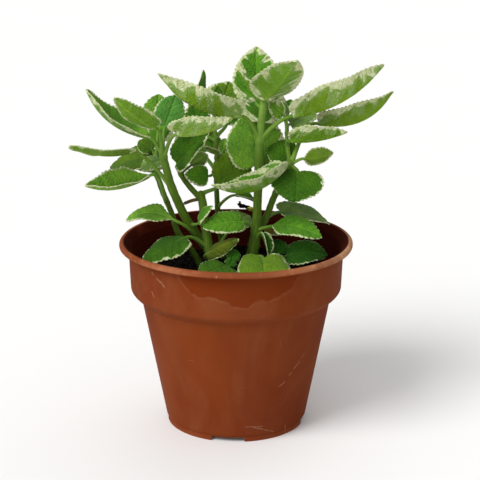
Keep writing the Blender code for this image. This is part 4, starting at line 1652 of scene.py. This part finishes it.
    def cut_foot(self, pot: Piece) -> None:
        """Cut the drain notches and the drain holes.

        Args:
            pot: The lathed pot.
        """
        cutters = Draft()
        turn = turns(self.drain_hole_sides)
        hole = self.drain_hole_radius * np.stack((np.cos(turn), np.sin(turn), 0 * turn), axis=-1)
        low, high = self.foot_height - 1, self.foot_height + self.floor_thickness + 1
        for notch in range(self.notches):
            angle = math.radians(self.notch_first_angle + 360 / self.notches * notch)
            way = np.array((math.cos(angle), math.sin(angle), 0.0))
            block = self.notch_cutter(way)
            cutters.add_rings(block, [ring.mean(axis=0) for ring in block])
            centre = way * self.drain_hole_ring_radius
            ends = [centre + (0, 0, low), centre + (0, 0, high)]
            cutters.add_rings(np.array([hole + end for end in ends]), ends)
        cutter = cutters.build("cutter", pot.data.materials[0])
        boolean = pot.modifiers.new("cut", "BOOLEAN")
        boolean.operation = "DIFFERENCE"
        boolean.solver = "EXACT"
        boolean.object = cutter
        bpy.context.view_layer.update()
        mesh = bpy.data.meshes.new_from_object(pot.evaluated_get(bpy.context.evaluated_depsgraph_get()))
        pot.modifiers.clear()
        pot.data = mesh
        bpy.data.objects.remove(cutter, do_unlink=True)


@dataclass(frozen=True)
class Soil:
    """Peaty growing mix: an uneven bed in the pot, loose crumbs, fibres and a few odd bits."""

    edge_height: float = 96.5
    edge_radius: float = 66.1
    mound: float = 4.5
    mound_radius: float = 61.3
    low_radius: float = 44.2
    low_height: float = 6.0
    shelf_radius: float = 58.8
    shelf_height: float = 84.3
    ripple: float = 0.7
    ripple_length: float = 5.0
    roughness: float = 1.5
    grain: float = 0.35
    rings: int = 84
    segments: int = 230
    lumps: int = 420
    lump_sizes: Pair = (0.9, 2.3)
    lump_stretch: Pair = (0.6, 1.2)
    lump_unevenness: float = 0.13
    lump_rise: float = 0.25
    lump_shades: Pair = (0.55, 1.5)
    crumbs: int = 2600
    crumb_sizes: Pair = (0.35, 0.9)
    stem_clearance: float = 3.0
    bark_share: float = 0.05
    bark_tint: Colour = (4.5, 3.2, 2.2)
    grit_share: float = 0.012
    grit_tint: Colour = (14.0, 14.0, 13.0)
    fibres: int = 130
    fibre_margin: float = 8.0
    fibre_bend: float = 0.25
    fibre_wobble: float = 0.12
    fibre_points: int = 8
    fibre_shades: Pair = (1.5, 5.0)
    fibre_lengths: Pair = (4, 11)
    fibre_thickness: Pair = (0.12, 0.28)

    def height_at(self, x: float, y: float) -> float:
        """Find the height of the bed's surface.

        Args:
            x: Distance to the right of the pot's axis.
            y: Distance behind it.

        Returns:
            The height.
        """
        radius = math.hypot(x, y)
        level = self.edge_height + self.mound * (1 - min(radius / self.mound_radius, 1) ** 2)
        level += self.ripple * math.sin(radius / self.ripple_length)
        rough = noise.fractal(Vector((x, y, 3.0)) * 0.11, 1.0, 2.0, 4)
        grain = noise.noise(Vector((x, y, 9.0)) * 0.7)
        return level + self.roughness * rough + self.grain * grain

    def bed(self, finish: Material) -> Piece:
        """Build the bed.

        Args:
            finish: The soil's material.

        Returns:
            The piece.
        """
        turn = turns(self.segments)
        walls = ((self.low_radius, self.low_height), (self.shelf_radius, self.shelf_height),
                 (self.edge_radius - 1.2, self.edge_height - 6), (self.edge_radius, self.edge_height - 1.5))
        rings = []
        for radius, height in walls:
            heights = np.full(len(turn), height)
            rings.append(np.stack((radius * np.cos(turn), radius * np.sin(turn), heights), axis=-1))
        for ring in range(self.rings):
            radius = (self.edge_radius - 0.3) * (1 - ring / self.rings)
            xs, ys = radius * np.cos(turn), radius * np.sin(turn)
            zs = [self.height_at(x, y) for x, y in zip(xs, ys)]
            rings.append(np.stack((xs, ys, zs), axis=-1))
        ends = ((0, 0, self.low_height), (0, 0, self.height_at(0, 0)))
        draft = Draft()
        draft.add_rings(np.array(rings), ends, tone=(1.0, 1.0, 1.0))
        bed = draft.build("soil_bed", finish)
        settle(bed, "soil", "soil")
        return bed

    def lump(self, draw: np.random.Generator, size: float, fine: int) -> Tuple[Array, Array]:
        """Make an irregular crumb.

        Args:
            draw: The source of random numbers.
            size: Its mean radius.
            fine: How often its faces are split.

        Returns:
            Its points round its own middle, and its faces.
        """
        points, faces = LUMPS[fine]
        shape = draw.uniform(*self.lump_stretch, 3)
        push = 1 + draw.normal(0, self.lump_unevenness, (len(points), 1))
        turn = draw.normal(0, 1, (3, 3))
        turn, _ = np.linalg.qr(turn)
        if np.linalg.det(turn) < 0:
            turn[:, 0] = -turn[:, 0]
        return (points * push * shape * size) @ turn.T, faces

    def litter(self, stems: Sequence[Point], finish: Material) -> Piece:
        """Build the loose crumbs, fibres and odd bits as one piece.

        Args:
            stems: Where the stems leave the soil.
            finish: The soil's material.

        Returns:
            The piece.
        """
        draw = np.random.default_rng(31)
        draft = Draft()
        for number in range(self.lumps + self.crumbs):
            big = number < self.lumps
            size = draw.uniform(*(self.lump_sizes if big else self.crumb_sizes))
            radius = (self.edge_radius - size - 0.6) * math.sqrt(draw.uniform(0, 1))
            angle = draw.uniform(0, 2 * math.pi)
            x, y = radius * math.cos(angle), radius * math.sin(angle)
            if any(math.hypot(x - stem[0], y - stem[1]) < self.stem_clearance + size for stem in stems):
                continue
            points, faces = self.lump(draw, size, 1 if big else 0)
            shade = draw.uniform(*self.lump_shades)
            tint = (shade, shade, shade)
            if draw.uniform() < self.bark_share:
                tint = self.bark_tint
            elif draw.uniform() < self.grit_share and not big:
                tint = self.grit_tint
            place = (x, y, self.height_at(x, y) + self.lump_rise * size)
            draft.add(points + place, (faces,), tone=tint)
        self.add_fibres(draft, draw)
        for place, size, tint in ODD_BITS:
            points, faces = self.lump(draw, size, 1)
            draft.add(points * (1.3, 1.0, 0.75) + place, (faces,), tone=tint)
        litter = draft.build("soil_litter", finish)
        settle(litter, "soil", "soil")
        return litter

    def add_fibres(self, draft: Draft, draw: np.random.Generator) -> None:
        """Strew short bent fibres over the bed.

        Args:
            draft: The litter's draft.
            draw: The source of random numbers.
        """
        sides = np.arange(4) * math.pi / 2
        for _ in range(self.fibres):
            radius = (self.edge_radius - self.fibre_margin) * math.sqrt(draw.uniform(0, 1))
            angle, heading = draw.uniform(0, 2 * math.pi, 2)
            place = np.array((radius * math.cos(angle), radius * math.sin(angle)))
            length = draw.uniform(*self.fibre_lengths)
            bend = draw.uniform(-self.fibre_bend, self.fibre_bend)
            path = []
            for step in range(self.fibre_points):
                height = self.height_at(*place) + 0.5 + 0.5 * math.sin(step * 0.9)
                path.append((*place, height))
                heading += bend + draw.normal(0, self.fibre_wobble)
                place = place + length / self.fibre_points * np.array((math.cos(heading), math.sin(heading)))
            path = np.array(path)
            along = unit(np.gradient(path, axis=0))
            across = unit(np.cross(along, (0, 0, 1.0)))
            other = np.cross(along, across)
            thick = draw.uniform(*self.fibre_thickness)
            cosines, sines = np.cos(sides)[None, :, None], np.sin(sides)[None, :, None]
            rings = path[:, None] + thick * (cosines * across[:, None] + sines * other[:, None])
            shade = draw.uniform(*self.fibre_shades)
            draft.add_rings(rings, (path[0], path[-1]), tone=(shade * 1.25, shade, shade * 0.75))


@dataclass(frozen=True)
class Studio:
    """Camera at the photograph's angle, soft lights and a pale floor."""

    eye: Point = (0.0, -962.5, 404.2)
    pitch: float = 16.39
    pan: float = 0.153
    focal_pixels: float = 1557.9
    frame_pixels: float = 480.0
    sensor: float = 36.0
    sky: Colour = (1.0, 1.0, 1.0)
    sky_strength: float = 0.45
    aim: Point = (0.0, 0.0, 130.0)
    floor_size: float = 9000.0

    def build(self, floor_finish: Material) -> None:
        """Set up the camera, the sky, the lights and the floor.

        Args:
            floor_finish: The floor's material.
        """
        bpy.context.scene.view_settings.view_transform = "Standard"
        self.add_camera()
        self.add_sky()
        self.add_lights()
        self.add_floor(floor_finish)

    def add_camera(self) -> None:
        """Put the camera where the photograph was taken from."""
        lens = bpy.data.cameras.new("camera")
        lens.sensor_width = self.sensor
        lens.lens = self.focal_pixels / self.frame_pixels * self.sensor
        lens.clip_start = 0.02
        lens.clip_end = 50
        camera = bpy.data.objects.new("camera", lens)
        camera.location = Vector(self.eye) * MM
        camera.rotation_euler = (math.radians(90 - self.pitch), 0, -math.radians(self.pan))
        bpy.context.scene.collection.objects.link(camera)
        bpy.context.scene.camera = camera

    def add_sky(self) -> None:
        """Light the scene evenly from all round."""
        world = bpy.data.worlds.new("sky")
        world.use_nodes = True
        background = world.node_tree.nodes["Background"]
        background.inputs["Color"].default_value = (*self.sky, 1.0)
        background.inputs["Strength"].default_value = self.sky_strength
        bpy.context.scene.world = world

    def add_lights(self) -> None:
        """Hang the soft lights, turned towards the plant."""
        target = Vector(self.aim) * MM
        for name, place, spread, strength in STUDIO_LIGHTS:
            light = bpy.data.lights.new(name, "SUN")
            light.energy = strength
            light.angle = math.radians(spread)
            lamp = bpy.data.objects.new(name, light)
            lamp.location = Vector(place) * MM
            lamp.rotation_euler = (target - lamp.location).to_track_quat("-Z", "Y").to_euler()
            bpy.context.scene.collection.objects.link(lamp)

    def add_floor(self, finish: Material) -> None:
        """Lay the floor.

        Args:
            finish: Its material.
        """
        half = self.floor_size / 2
        draft = Draft()
        corners = ((-half, -half, 0), (half, -half, 0), (half, half, 0), (-half, half, 0))
        draft.add(np.array(corners), (np.array(((0, 1, 2, 3),)),))
        floor = draft.build("floor", finish)
        floor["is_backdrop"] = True


def settle(piece: Piece, slot: str, *nodes: str) -> None:
    """Let a piece ride on the pot's body, and hide the CAD nodes that it stands for.

    Args:
        piece: The piece.
        slot: Not used.
        *nodes: The CAD nodes that it replaces.
    """
    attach(piece, BODY)
    if nodes:
        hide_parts(*nodes)
    LOG.info("%s: %d faces", piece.name, len(piece.data.polygons))


def lump_shapes() -> List[Tuple[Array, Array]]:
    """Make a twenty-sided ball and a finer one.

    Returns:
        The points and faces of each.
    """
    golden = (1 + math.sqrt(5)) / 2
    points = []
    for one in (-1, 1):
        for two in (-golden, golden):
            points += [(0, one, two), (one, two, 0), (two, 0, one)]
    points = unit(np.array(points))
    edge = min(np.linalg.norm(points[0] - other) for other in points[1:])
    faces = []
    for a in range(12):
        for b in range(a + 1, 12):
            for c in range(b + 1, 12):
                gaps = [np.linalg.norm(points[p] - points[q]) for p, q in ((a, b), (b, c), (a, c))]
                if max(gaps) < edge * 1.1:
                    out = np.dot(np.cross(points[b] - points[a], points[c] - points[a]), points[a])
                    faces.append((a, b, c) if out > 0 else (a, c, b))
    plain = (points, np.array(faces))
    finer = list(points)
    middles: Dict[Tuple[int, int], int] = {}

    def halfway(a: int, b: int) -> int:
        """Find the point between two others, and make it if it is new.

        Args:
            a: The number of the one.
            b: The number of the other.

        Returns:
            The number of the point between them.
        """
        key = (min(a, b), max(a, b))
        if key not in middles:
            middles[key] = len(finer)
            finer.append(unit(points[a] + points[b]))
        return middles[key]

    split = []
    for a, b, c in faces:
        ab, bc, ca = halfway(a, b), halfway(b, c), halfway(c, a)
        split += [(a, ab, ca), (ab, b, bc), (ca, bc, c), (ab, bc, ca)]
    return [plain, (np.array(finer), np.array(split))]


LUMPS = lump_shapes()

# Place, radius and tint of the bits that lie about: a brick-red chip by the rear wall, and black crumbs
# and a withered flake on the rear lip
ODD_BITS = (
    ((-36.0, 47.0, 99.6), 3.0, (60.0, 9.0, 4.0)),
    ((4.6, 72.5, 124.0), 2.5, (0.7, 0.7, 0.7)),
    ((7.6, 72.5, 123.4), 2.1, (0.7, 0.7, 0.7)),
    ((2.4, 72.6, 125.4), 1.2, (0.7, 0.7, 0.7)),
    ((2.6, 72.6, 127.0), 0.9, (0.7, 0.7, 0.7)),
    ((10.6, 71.0, 122.4), 3.0, (180.0, 240.0, 45.0)),
)

# Middle, half width, top and depth of the clean patch that water left on the collar
WATER_MARK = (1.0, 40.0, 117.5, 17.0)

# Ends (x and height), width and strength of the scuffs on the front of the pot
SCUFF_MARKS = (
    ((-52.0, 114.0), (-46.0, 108.5), 0.9, 0.35),
    ((-46.5, 110.0), (-44.0, 106.0), 0.9, 0.30),
    ((-52.5, 101.0), (-51.0, 97.0), 0.7, 0.28),
    ((-12.5, 117.6), (-11.5, 120.5), 0.7, 0.45),
    ((27.0, 37.0), (31.0, 41.0), 0.40, 0.50),
    ((33.0, 43.5), (41.0, 52.0), 0.35, 0.45),
    ((38.0, 51.0), (44.0, 57.0), 0.30, 0.30),
    ((4.0, 11.5), (19.0, 10.0), 0.30, 0.60),
    ((10.0, 10.8), (26.0, 4.0), 0.30, 0.60),
)

# Name, place, spread in degrees and strength of the soft, wide lights
STUDIO_LIGHTS = (
    ("key", (-950.0, -800.0, 1350.0), 32.0, 2.3),
    ("fill", (-350.0, -1000.0, 350.0), 60.0, 0.95),
    ("back", (300.0, 900.0, 1200.0), 60.0, 0.5),
)

ROOT_END_HEIGHT = 86.0

TALL_STEM = (
    Stem(
        path=((9, -2, ROOT_END_HEIGHT), (9, -2, 104), (12.9, 0, 127), (13.8, 0, 147),
              (14.7, 0, 175), (15, 0, 187), (16.5, -1, 204), (17.8, -2, 215)),
        girth=(4.0, 4.0, 3.2, 2.7, 2.9, 2.6, 2.1, 1.5),
        leaves=(
            Leaf(108, (17, -23, 115.5), (18, -58, 106), 33, (0, -0.4, 0.9), -4, 2, 0.27,
                 Tone.OLIVE, (0.5, 1.1)),
            Leaf(119, (16.6, -6, 127), (20.4, -14, 114), 11, (0.8, -0.6, 0.2), 40, 1, 0.06,
                 Tone.PAINTED_DEEP_SHADE, (0.6, 0.9)),
            Leaf(118, (19, 8, 123.5), (33, 13, 121), 10, (0, -0.4, 0.9), 20, 1, 0.06,
                 Tone.WITHERED, (0.1, 0.1)),
            Leaf(127, (4, -8, 135.4), (-21, -16, 133.5), 18, (0, -0.64, 0.77), 6, 2, 0.06,
                 Tone.FRESH, (0.2, 0.75)),
            Leaf(127, (23.6, -8, 132.7), (54, -24, 129.4), 20, (0, -0.5, 0.87), 8, 4, -0.08,
                 Tone.FRESH, (0.85, 0.15)),
            Leaf(163, (14.1, 6, 169.3), (9.8, 28, 199), 38, (0, -0.85, 0.53), 6, 2, 0.1,
                 Tone.BRIGHT, (2.6, 0.9)),
            Leaf(187, (3, -8, 204), (-47.5, -22, 233.8), 30, (0, 0.62, 0.79), 34, -9, 0.06,
                 Tone.OLIVE, (3.0, 4.6)),
            Leaf(187, (35.8, -4, 203.3), (92.5, 2, 235), 32, (0, 0.62, 0.79), 34, -8, 0.06,
                 Tone.OLIVE, (5.0, 3.0)),
            Leaf(187, (16, 12, 196), (20, 44, 212), 30, (0, -0.3, 0.95), 10, 3, 0.06,
                 Tone.FRESH, (3.0, 3.0)),
            Leaf(207, (12.7, 4, 211), (12.7, 18, 243.5), 30, (0, -0.95, 0.3), 8, 1, 0.06,
                 Tone.FRESH, (4.8, 4.8)),
            Leaf(212, (18, -6, 214.5), (36.5, -38, 244.5), 32, (0, 0.6, 0.8), 20, -2, 0.04,
                 Tone.BRIGHT, (3.8, 5.5)),
            Leaf(208, (14.5, -1, 213), (0.7, 0, 232), 12, (0.8, 0, 0.6), 50, -1, 0.06,
                 Tone.FRESH, (1.0, 1.0)),
        ),
    ),
    Stem(
        path=((12.5, 1, 125), (16.8, 4, 130), (20, 6, 136), (23.2, 6, 145), (26.3, 4, 153),
              (30.6, 0, 163), (34.2, -3, 171.5), (34.4, -2.5, 174)),
        girth=(2.0, 2.2, 2.1, 2.0, 2.0, 1.9, 1.9, 1.7),
        leaves=(
            Leaf(134, (30, 16, 135.5), (62, 30, 123.2), 23, (0, -0.3, 0.95), 10, 3, 0.12,
                 Tone.SEA, (0.7, 0.2)),
            Leaf(152, (34, 20, 156), (46, 46, 152), 26, (0, -0.3, 0.95), 12, 3, 0.06,
                 Tone.FRESH, (2.0, 2.0)),
            Leaf(171, (31.5, -11, 172.7), (-15.3, -37, 167.5), 28, (0, 0.2, 0.98), 45, -10, 0.06,
                 Tone.FRESH, (2.6, 6.8)),
            Leaf(171, (38.8, -8, 168.2), (37, -28, 153.7), 34, (0, -0.6, 0.8), 0, 1, 0.14,
                 Tone.PAINTED_SHADE, (0.1, 0.9)),
            Leaf(171, (43, -2, 175.4), (62, 4, 177.6), 16.5, (0, 0.87, 0.5), 8, -1, -0.06,
                 Tone.OLIVE, (0.4, 0.9)),
            Leaf(172, (36, 1.5, 174.5), (20, 6, 180), 21, (0, -0.8, 0.6), 10, 1, 0.06,
                 Tone.PAINTED_SHADE, (0.2, 0.6)),
            Leaf(168, (33.3, 8, 168.5), (19.3, 14, 170), 10, (0, -0.6, 0.8), 10, 1, 0.06,
                 Tone.PAINTED_DEEP_SHADE, (0.4, 0.9)),
            Leaf(172, (52.4, 12, 195), (100.6, 24, 213.7), 29, (0, 0.62, 0.79), 32, -10, 0.06,
                 Tone.OLIVE, (2.6, 2.0)),
        ),
    ),
    Stem(
        path=((34.2, -3, 171.5), (33, 2, 180), (32.4, 5, 186.5), (32.2, 8, 194.3), (31.2, 9, 200)),
        girth=(1.5, 1.4, 1.2, 1.1, 1.0),
        leaves=(
            Leaf(183, (34.2, -5, 187.6), (69.5, -12, 195), 25, (0, 0.6, 0.8), 30, -2.5, 0.06,
                 Tone.PAINTED_SHADE, (2.6, 2.0)),
            Leaf(190, (35, 16, 194), (52.7, 20, 199), 15, (0, -0.6, 0.8), 8, 1, 0.06,
                 Tone.MILKY, (0.9, 0.9)),
            Leaf(198, (30, 8, 201.5), (21, 10, 210), 12, (0, -0.9, 0.4), 12, 1, 0.06,
                 Tone.BRIGHT, (1.8, 1.0)),
            Leaf(199, (30.5, 3, 203), (28.4, 5, 211), 9, (0.9, -0.3, 0.3), 25, 1, 0.06,
                 Tone.MILKY, (0.6, 0.6)),
            Leaf(199, (33.5, 10, 203), (35, 15, 210), 9, (-0.3, -0.9, 0.3), 15, 1, 0.06,
                 Tone.FRESH, (0.6, 0.6)),
        ),
    ),
)

LEFT_STEM = (
    Stem(
        path=((-14, 8, ROOT_END_HEIGHT), (-14, 8, 104), (-18, 6, 112), (-22.6, 4, 119.5),
              (-31.4, -2, 135), (-36.8, -6, 148), (-41.1, -9, 160), (-44.2, -12, 173.7),
              (-46, -13, 182)),
        girth=(2.8, 2.8, 2.8, 2.8, 2.8, 2.75, 2.6, 2.4, 1.9),
        leaves=(
            Leaf(121, (-40.5, -12, 138.5), (-70.3, -5, 135.5), 19, (0, -0.33, 0.94), 8, 5, -0.1,
                 Tone.PAINTED_LIGHT, (0.1, 0.7)),
            Leaf(131, (-23.2, -10, 136), (-14.5, -13, 147.3), 10, (-0.77, -0.37, 0.53), 10, 1, 0.06,
                 Tone.FRESH, (0.9, 0.3)),
            Leaf(158, (-66.7, -14, 182.5), (-101, -42, 193), 24, (0, 0.4, 0.9), 10, -3.5, 0.06,
                 Tone.OLIVE, (0.7, 1.9)),
            Leaf(179, (-55, -16, 192.5), (-91, -28, 225), 26, (0, -0.25, 1), 32, -7, 0.06,
                 Tone.BRIGHT, (1.2, 4.5)),
            Leaf(179, (-36, -20, 195), (-2, -32, 207.6), 27, (0, 0.62, 0.79), 32, -4, 0.18,
                 Tone.GREYED, (4.6, 2.4)),
            Leaf(181, (-49.4, -30, 201.6), (-72.2, -54, 225.2), 17.5, (0, 0.8, 0.6), 20, -3, 0.06,
                 Tone.BRIGHT, (0.9, 0.6)),
            Leaf(181, (-44.3, -5, 197), (-37.3, 5, 215.5), 20, (0, -0.9, 0.45), 6, 1, 0.06,
                 Tone.TEAL, (0.7, 0.7)),
        ),
    ),
)

LEFT_REAR_STEM = (
    Stem(
        path=((-23, 0, ROOT_END_HEIGHT), (-23, 0, 104), (-29, 2, 114), (-37.5, 4, 125),
              (-41, 6, 136), (-45.1, 8, 146), (-48.9, 10, 155), (-50.8, 12, 163), (-52, 13, 171)),
        girth=(2.2, 2.2, 2.0, 1.9, 1.8, 1.7, 1.6, 1.5, 1.3),
        leaves=(
            Leaf(145, (-54.6, -12, 166.7), (-92, -42, 168), 27, (0.22, -0.23, 0.95), 43, -5.5, -0.1,
                 Tone.PAINTED_LIGHT, (0.7, 1.5)),
            Leaf(150, (-54, 26, 160), (-65, 54, 162), 26, (0, -0.2, 1), 12, 3, 0.06,
                 Tone.FRESH, (2.0, 2.0)),
            Leaf(163, (-53, 12, 171.5), (-82, 25, 163), 27, (0, -0.4, 0.9), 8, 3, 0.06,
                 Tone.MOSS, (0.1, 0.1)),
            Leaf(163, (-48.5, 6, 172), (-60, -4, 168), 12, (0, -0.7, 0.7), 15, 1, 0.06,
                 Tone.MILKY, (0.2, 1.2)),
            Leaf(166, (-50, 27, 180), (-58, 56, 194), 24, (0, -0.3, 1), 12, 3, 0.06,
                 Tone.FRESH, (2.4, 2.4)),
            Leaf(169, (-54, 15, 177), (-63, 21, 181.5), 12, (0, -0.8, 0.6), 10, 1, 0.06,
                 Tone.MOSS, (0.1, 0.1)),
            Leaf(169, (-50, 16, 190), (-50, 28, 211), 23, (0, -0.8, 0.6), 10, 1, 0.06,
                 Tone.BRIGHT, (0.0, 0.0)),
        ),
    ),
)

MIDDLE_STEM = (
    Stem(
        path=((-16, -5, ROOT_END_HEIGHT), (-16, -5, 104), (-18, -3, 120), (-20, 1, 131),
              (-21.3, 6, 143), (-22.8, 9, 150)),
        girth=(3.1, 3.1, 2.9, 2.8, 2.7, 2.2),
        leaves=(
            Leaf(117, (-31.9, -10, 125.7), (-59, -27, 113), 28, (0, -0.1, 1), -5, 2, 0.02,
                 Tone.PAINTED_SHADE, (0.8, 1.2)),
            Leaf(106, (-18.8, -14, 115.8), (1.9, -18, 127.2), 12, (-0.46, -0.65, 0.6), -25, 1, 0.06,
                 Tone.YELLOWING, (0.3, 0.3)),
            Leaf(107, (-3, 9, 127), (8, 22, 131.5), 20, (0, -0.5, 0.85), 8, 2, 0.06, Tone.SEA, (0.2, 0.6)),
            Leaf(149, (-10, 15, 154), (9, 28, 173), 26, (0, -0.7, 0.7), 8, 2, 0, Tone.OLIVE, (0.0, 0.0)),
        ),
    ),
    Stem(
        path=((-21.8, 7, 146), (-29.6, 9, 154), (-34.6, 8, 161.6), (-37.4, 7, 168.4)),
        girth=(2.0, 1.8, 1.7, 1.5),
        leaves=(
            Leaf(163, (-28.5, 14, 167.5), (-18, 13, 174.7), 13, (0, 0.9, 0.44), 8, 1, 0.06,
                 Tone.MILKY, (0.5, 0.5)),
            Leaf(168, (-37.3, 6, 170), (-16.8, -2, 193.6), 27, (-0.62, -0.6, 0.5), 20, 1, 0.06,
                 Tone.PAINTED_SHADE, (1.1, 0.4)),
        ),
    ),
    Stem(
        path=((-22, 8, 146.5), (-28, 7.5, 145.5), (-33, 6, 144)),
        girth=(1.2, 1.1, 1.0),
        withered=True,
    ),
)

REAR_STEM = (
    Stem(
        path=((-8, 28, ROOT_END_HEIGHT), (-8, 28, 104), (-10.5, 29, 118), (-12.2, 30, 135),
              (-13, 33, 156), (-12.4, 34, 168.6), (-13.7, 37, 185), (-14.3, 40, 200)),
        girth=(2.0, 2.0, 1.8, 1.7, 1.6, 1.5, 1.3, 1.1),
        leaves=(
            Leaf(135, (0, 26, 144), (13, 30, 138), 12, (0, -0.3, 1), 30, 1, 0.06, Tone.FRESH, (0.6, 0.6)),
            Leaf(157, (-18.5, 16, 159.5), (-33, 3, 163.5), 14, (0.7, -0.7, 0.2), 8, 1, 0.06,
                 Tone.FRESH, (0.3, 0.9)),
            Leaf(158, (-22, 46, 168), (-36, 69, 175), 28, (0, -0.2, 1), 12, 3, 0.06,
                 Tone.FRESH, (2.2, 2.2)),
            Leaf(158, (-2, 44, 164), (9, 69, 167), 28, (0, -0.2, 1), 12, 3, 0.06, Tone.FRESH, (2.2, 2.2)),
            Leaf(168, (-11.7, 28, 171), (-20.5, 16, 179.4), 9, (0, 0.28, 0.96), 10, 0, 0.06,
                 Tone.OLIVE, (0.9, 1.1)),
            Leaf(168, (-14, 37, 171), (-17, 42, 184), 12, (0, -0.95, 0.3), 10, 1, 0.06,
                 Tone.BRIGHT, (0.5, 0.5)),
            Leaf(168, (-8.5, 34, 172), (-7, 40, 179), 8, (0, -0.9, 0.4), 10, 1, 0.06,
                 Tone.BRIGHT, (0.4, 0.4)),
            Leaf(178, (-23, 37, 184), (-28.6, 36, 205.5), 18, (0, -0.9, 0.45), 8, 1, 0.06,
                 Tone.FRESH, (1.0, 1.0)),
            Leaf(180, (-6, 48, 187), (4, 70, 198), 26, (0, -0.2, 1), 12, 3, 0.06, Tone.FRESH, (2.4, 2.4)),
            Leaf(194, (-10, 42, 198), (-4, 50, 215), 27, (0, -0.8, 0.6), 8, 1, 0.06,
                 Tone.OLIVE, (2.4, 2.4)),
            Leaf(197, (-25.5, 44, 205), (-21.2, 52, 222.5), 12, (1, -0.35, 0.2), 8, 1, 0.06,
                 Tone.FRESH, (0.2, 0.2)),
            Leaf(197, (-12, 37, 204), (-11.7, 39, 214.5), 7, (0, -0.9, 0.3), 8, 0, 0.06,
                 Tone.PAINTED_SHADE, (0.0, 0.0)),
        ),
    ),
)

RIGHT_SHOOT = (
    Stem(
        path=((31, 3, ROOT_END_HEIGHT), (31, 3, 104), (31, 3, 109)),
        girth=(1.6, 1.6, 1.2),
        leaves=(
            Leaf(106, (33, 0, 110.5), (59, -4, 112), 22, (0, -0.5, 0.86), 6, 3, 0.06,
                 Tone.PAINTED_DEEP_SHADE, (0.35, 0.25)),
            Leaf(107, (27, 6, 110), (27.5, 12, 118), 14, (0, -0.9, 0.4), 8, 1, 0.06, Tone.PAINTED_DEEP_SHADE, (0.2, 0.2)),
        ),
    ),
)

FRONT_SHOOT = (
    Stem(
        path=((-5, -19, ROOT_END_HEIGHT), (-5, -19, 104), (-5, -19, 108)),
        girth=(1.5, 1.5, 1.1),
        leaves=(
            Leaf(105, (-5, -25, 111), (-22, -46.5, 110), 22, (0, -0.4, 0.9), 2, 2, 0.06,
                 Tone.PAINTED_SHADE, (0.2, 0.4)),
            Leaf(106, (-3, -17, 113), (0.5, -12, 118), 9, (0, -0.9, 0.4), 10, 1, 0.06,
                 Tone.PAINTED_DEEP_SHADE, (0.0, 0.0)),
            Leaf(106, (-4, -22, 110.5), (-2, -20, 115), 8, (0, -0.9, 0.4), 10, 0, 0.06,
                 Tone.PAINTED_DEEP_SHADE, (0.0, 0.0)),
        ),
    ),
)

PLANTS: Dict[str, Tuple[Stem, ...]] = {
    "stem_tall": TALL_STEM,
    "stem_left": LEFT_STEM,
    "stem_left_rear": LEFT_REAR_STEM,
    "stem_middle": MIDDLE_STEM,
    "stem_rear": REAR_STEM,
    "shoot_right": RIGHT_SHOOT,
    "shoot_front": FRONT_SHOOT,
}


def main() -> None:
    """Build every piece and the studio, and gather the boxes of the CAD model and of the pieces."""
    logging.basicConfig(level=logging.INFO, format="%(name)s: %(message)s")
    Studio().build(PaleFloor().material())
    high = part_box("pot")[1] / MM
    Pot(height=high.z, lip_radius=high.x).build(TerracottaPlastic().material())
    peat = PeatMix().material()
    soil = Soil()
    soil.bed(peat)
    soil.litter([stems[0].path[1] for stems in PLANTS.values()], peat)
    leaf_skin, stalk_skin = LeafSkin().material(), StalkSkin().material()
    hair_roots: List[Array] = []
    for number, (node, stems) in enumerate(PLANTS.items()):
        plant = LeafyStem(node, stems, number)
        plant.build(leaf_skin, stalk_skin)
        hair_roots.extend(plant.hair_roots)
    coat = HairCoat().build(np.vstack(hair_roots), Down().material())
    settle(coat, "leaf")
    boxes = {"cad": CAD_BOX, "visual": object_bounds()}
    {name: [list(corner) for corner in box] for name, box in boxes.items()}


if __name__ == "__main__":
    main()
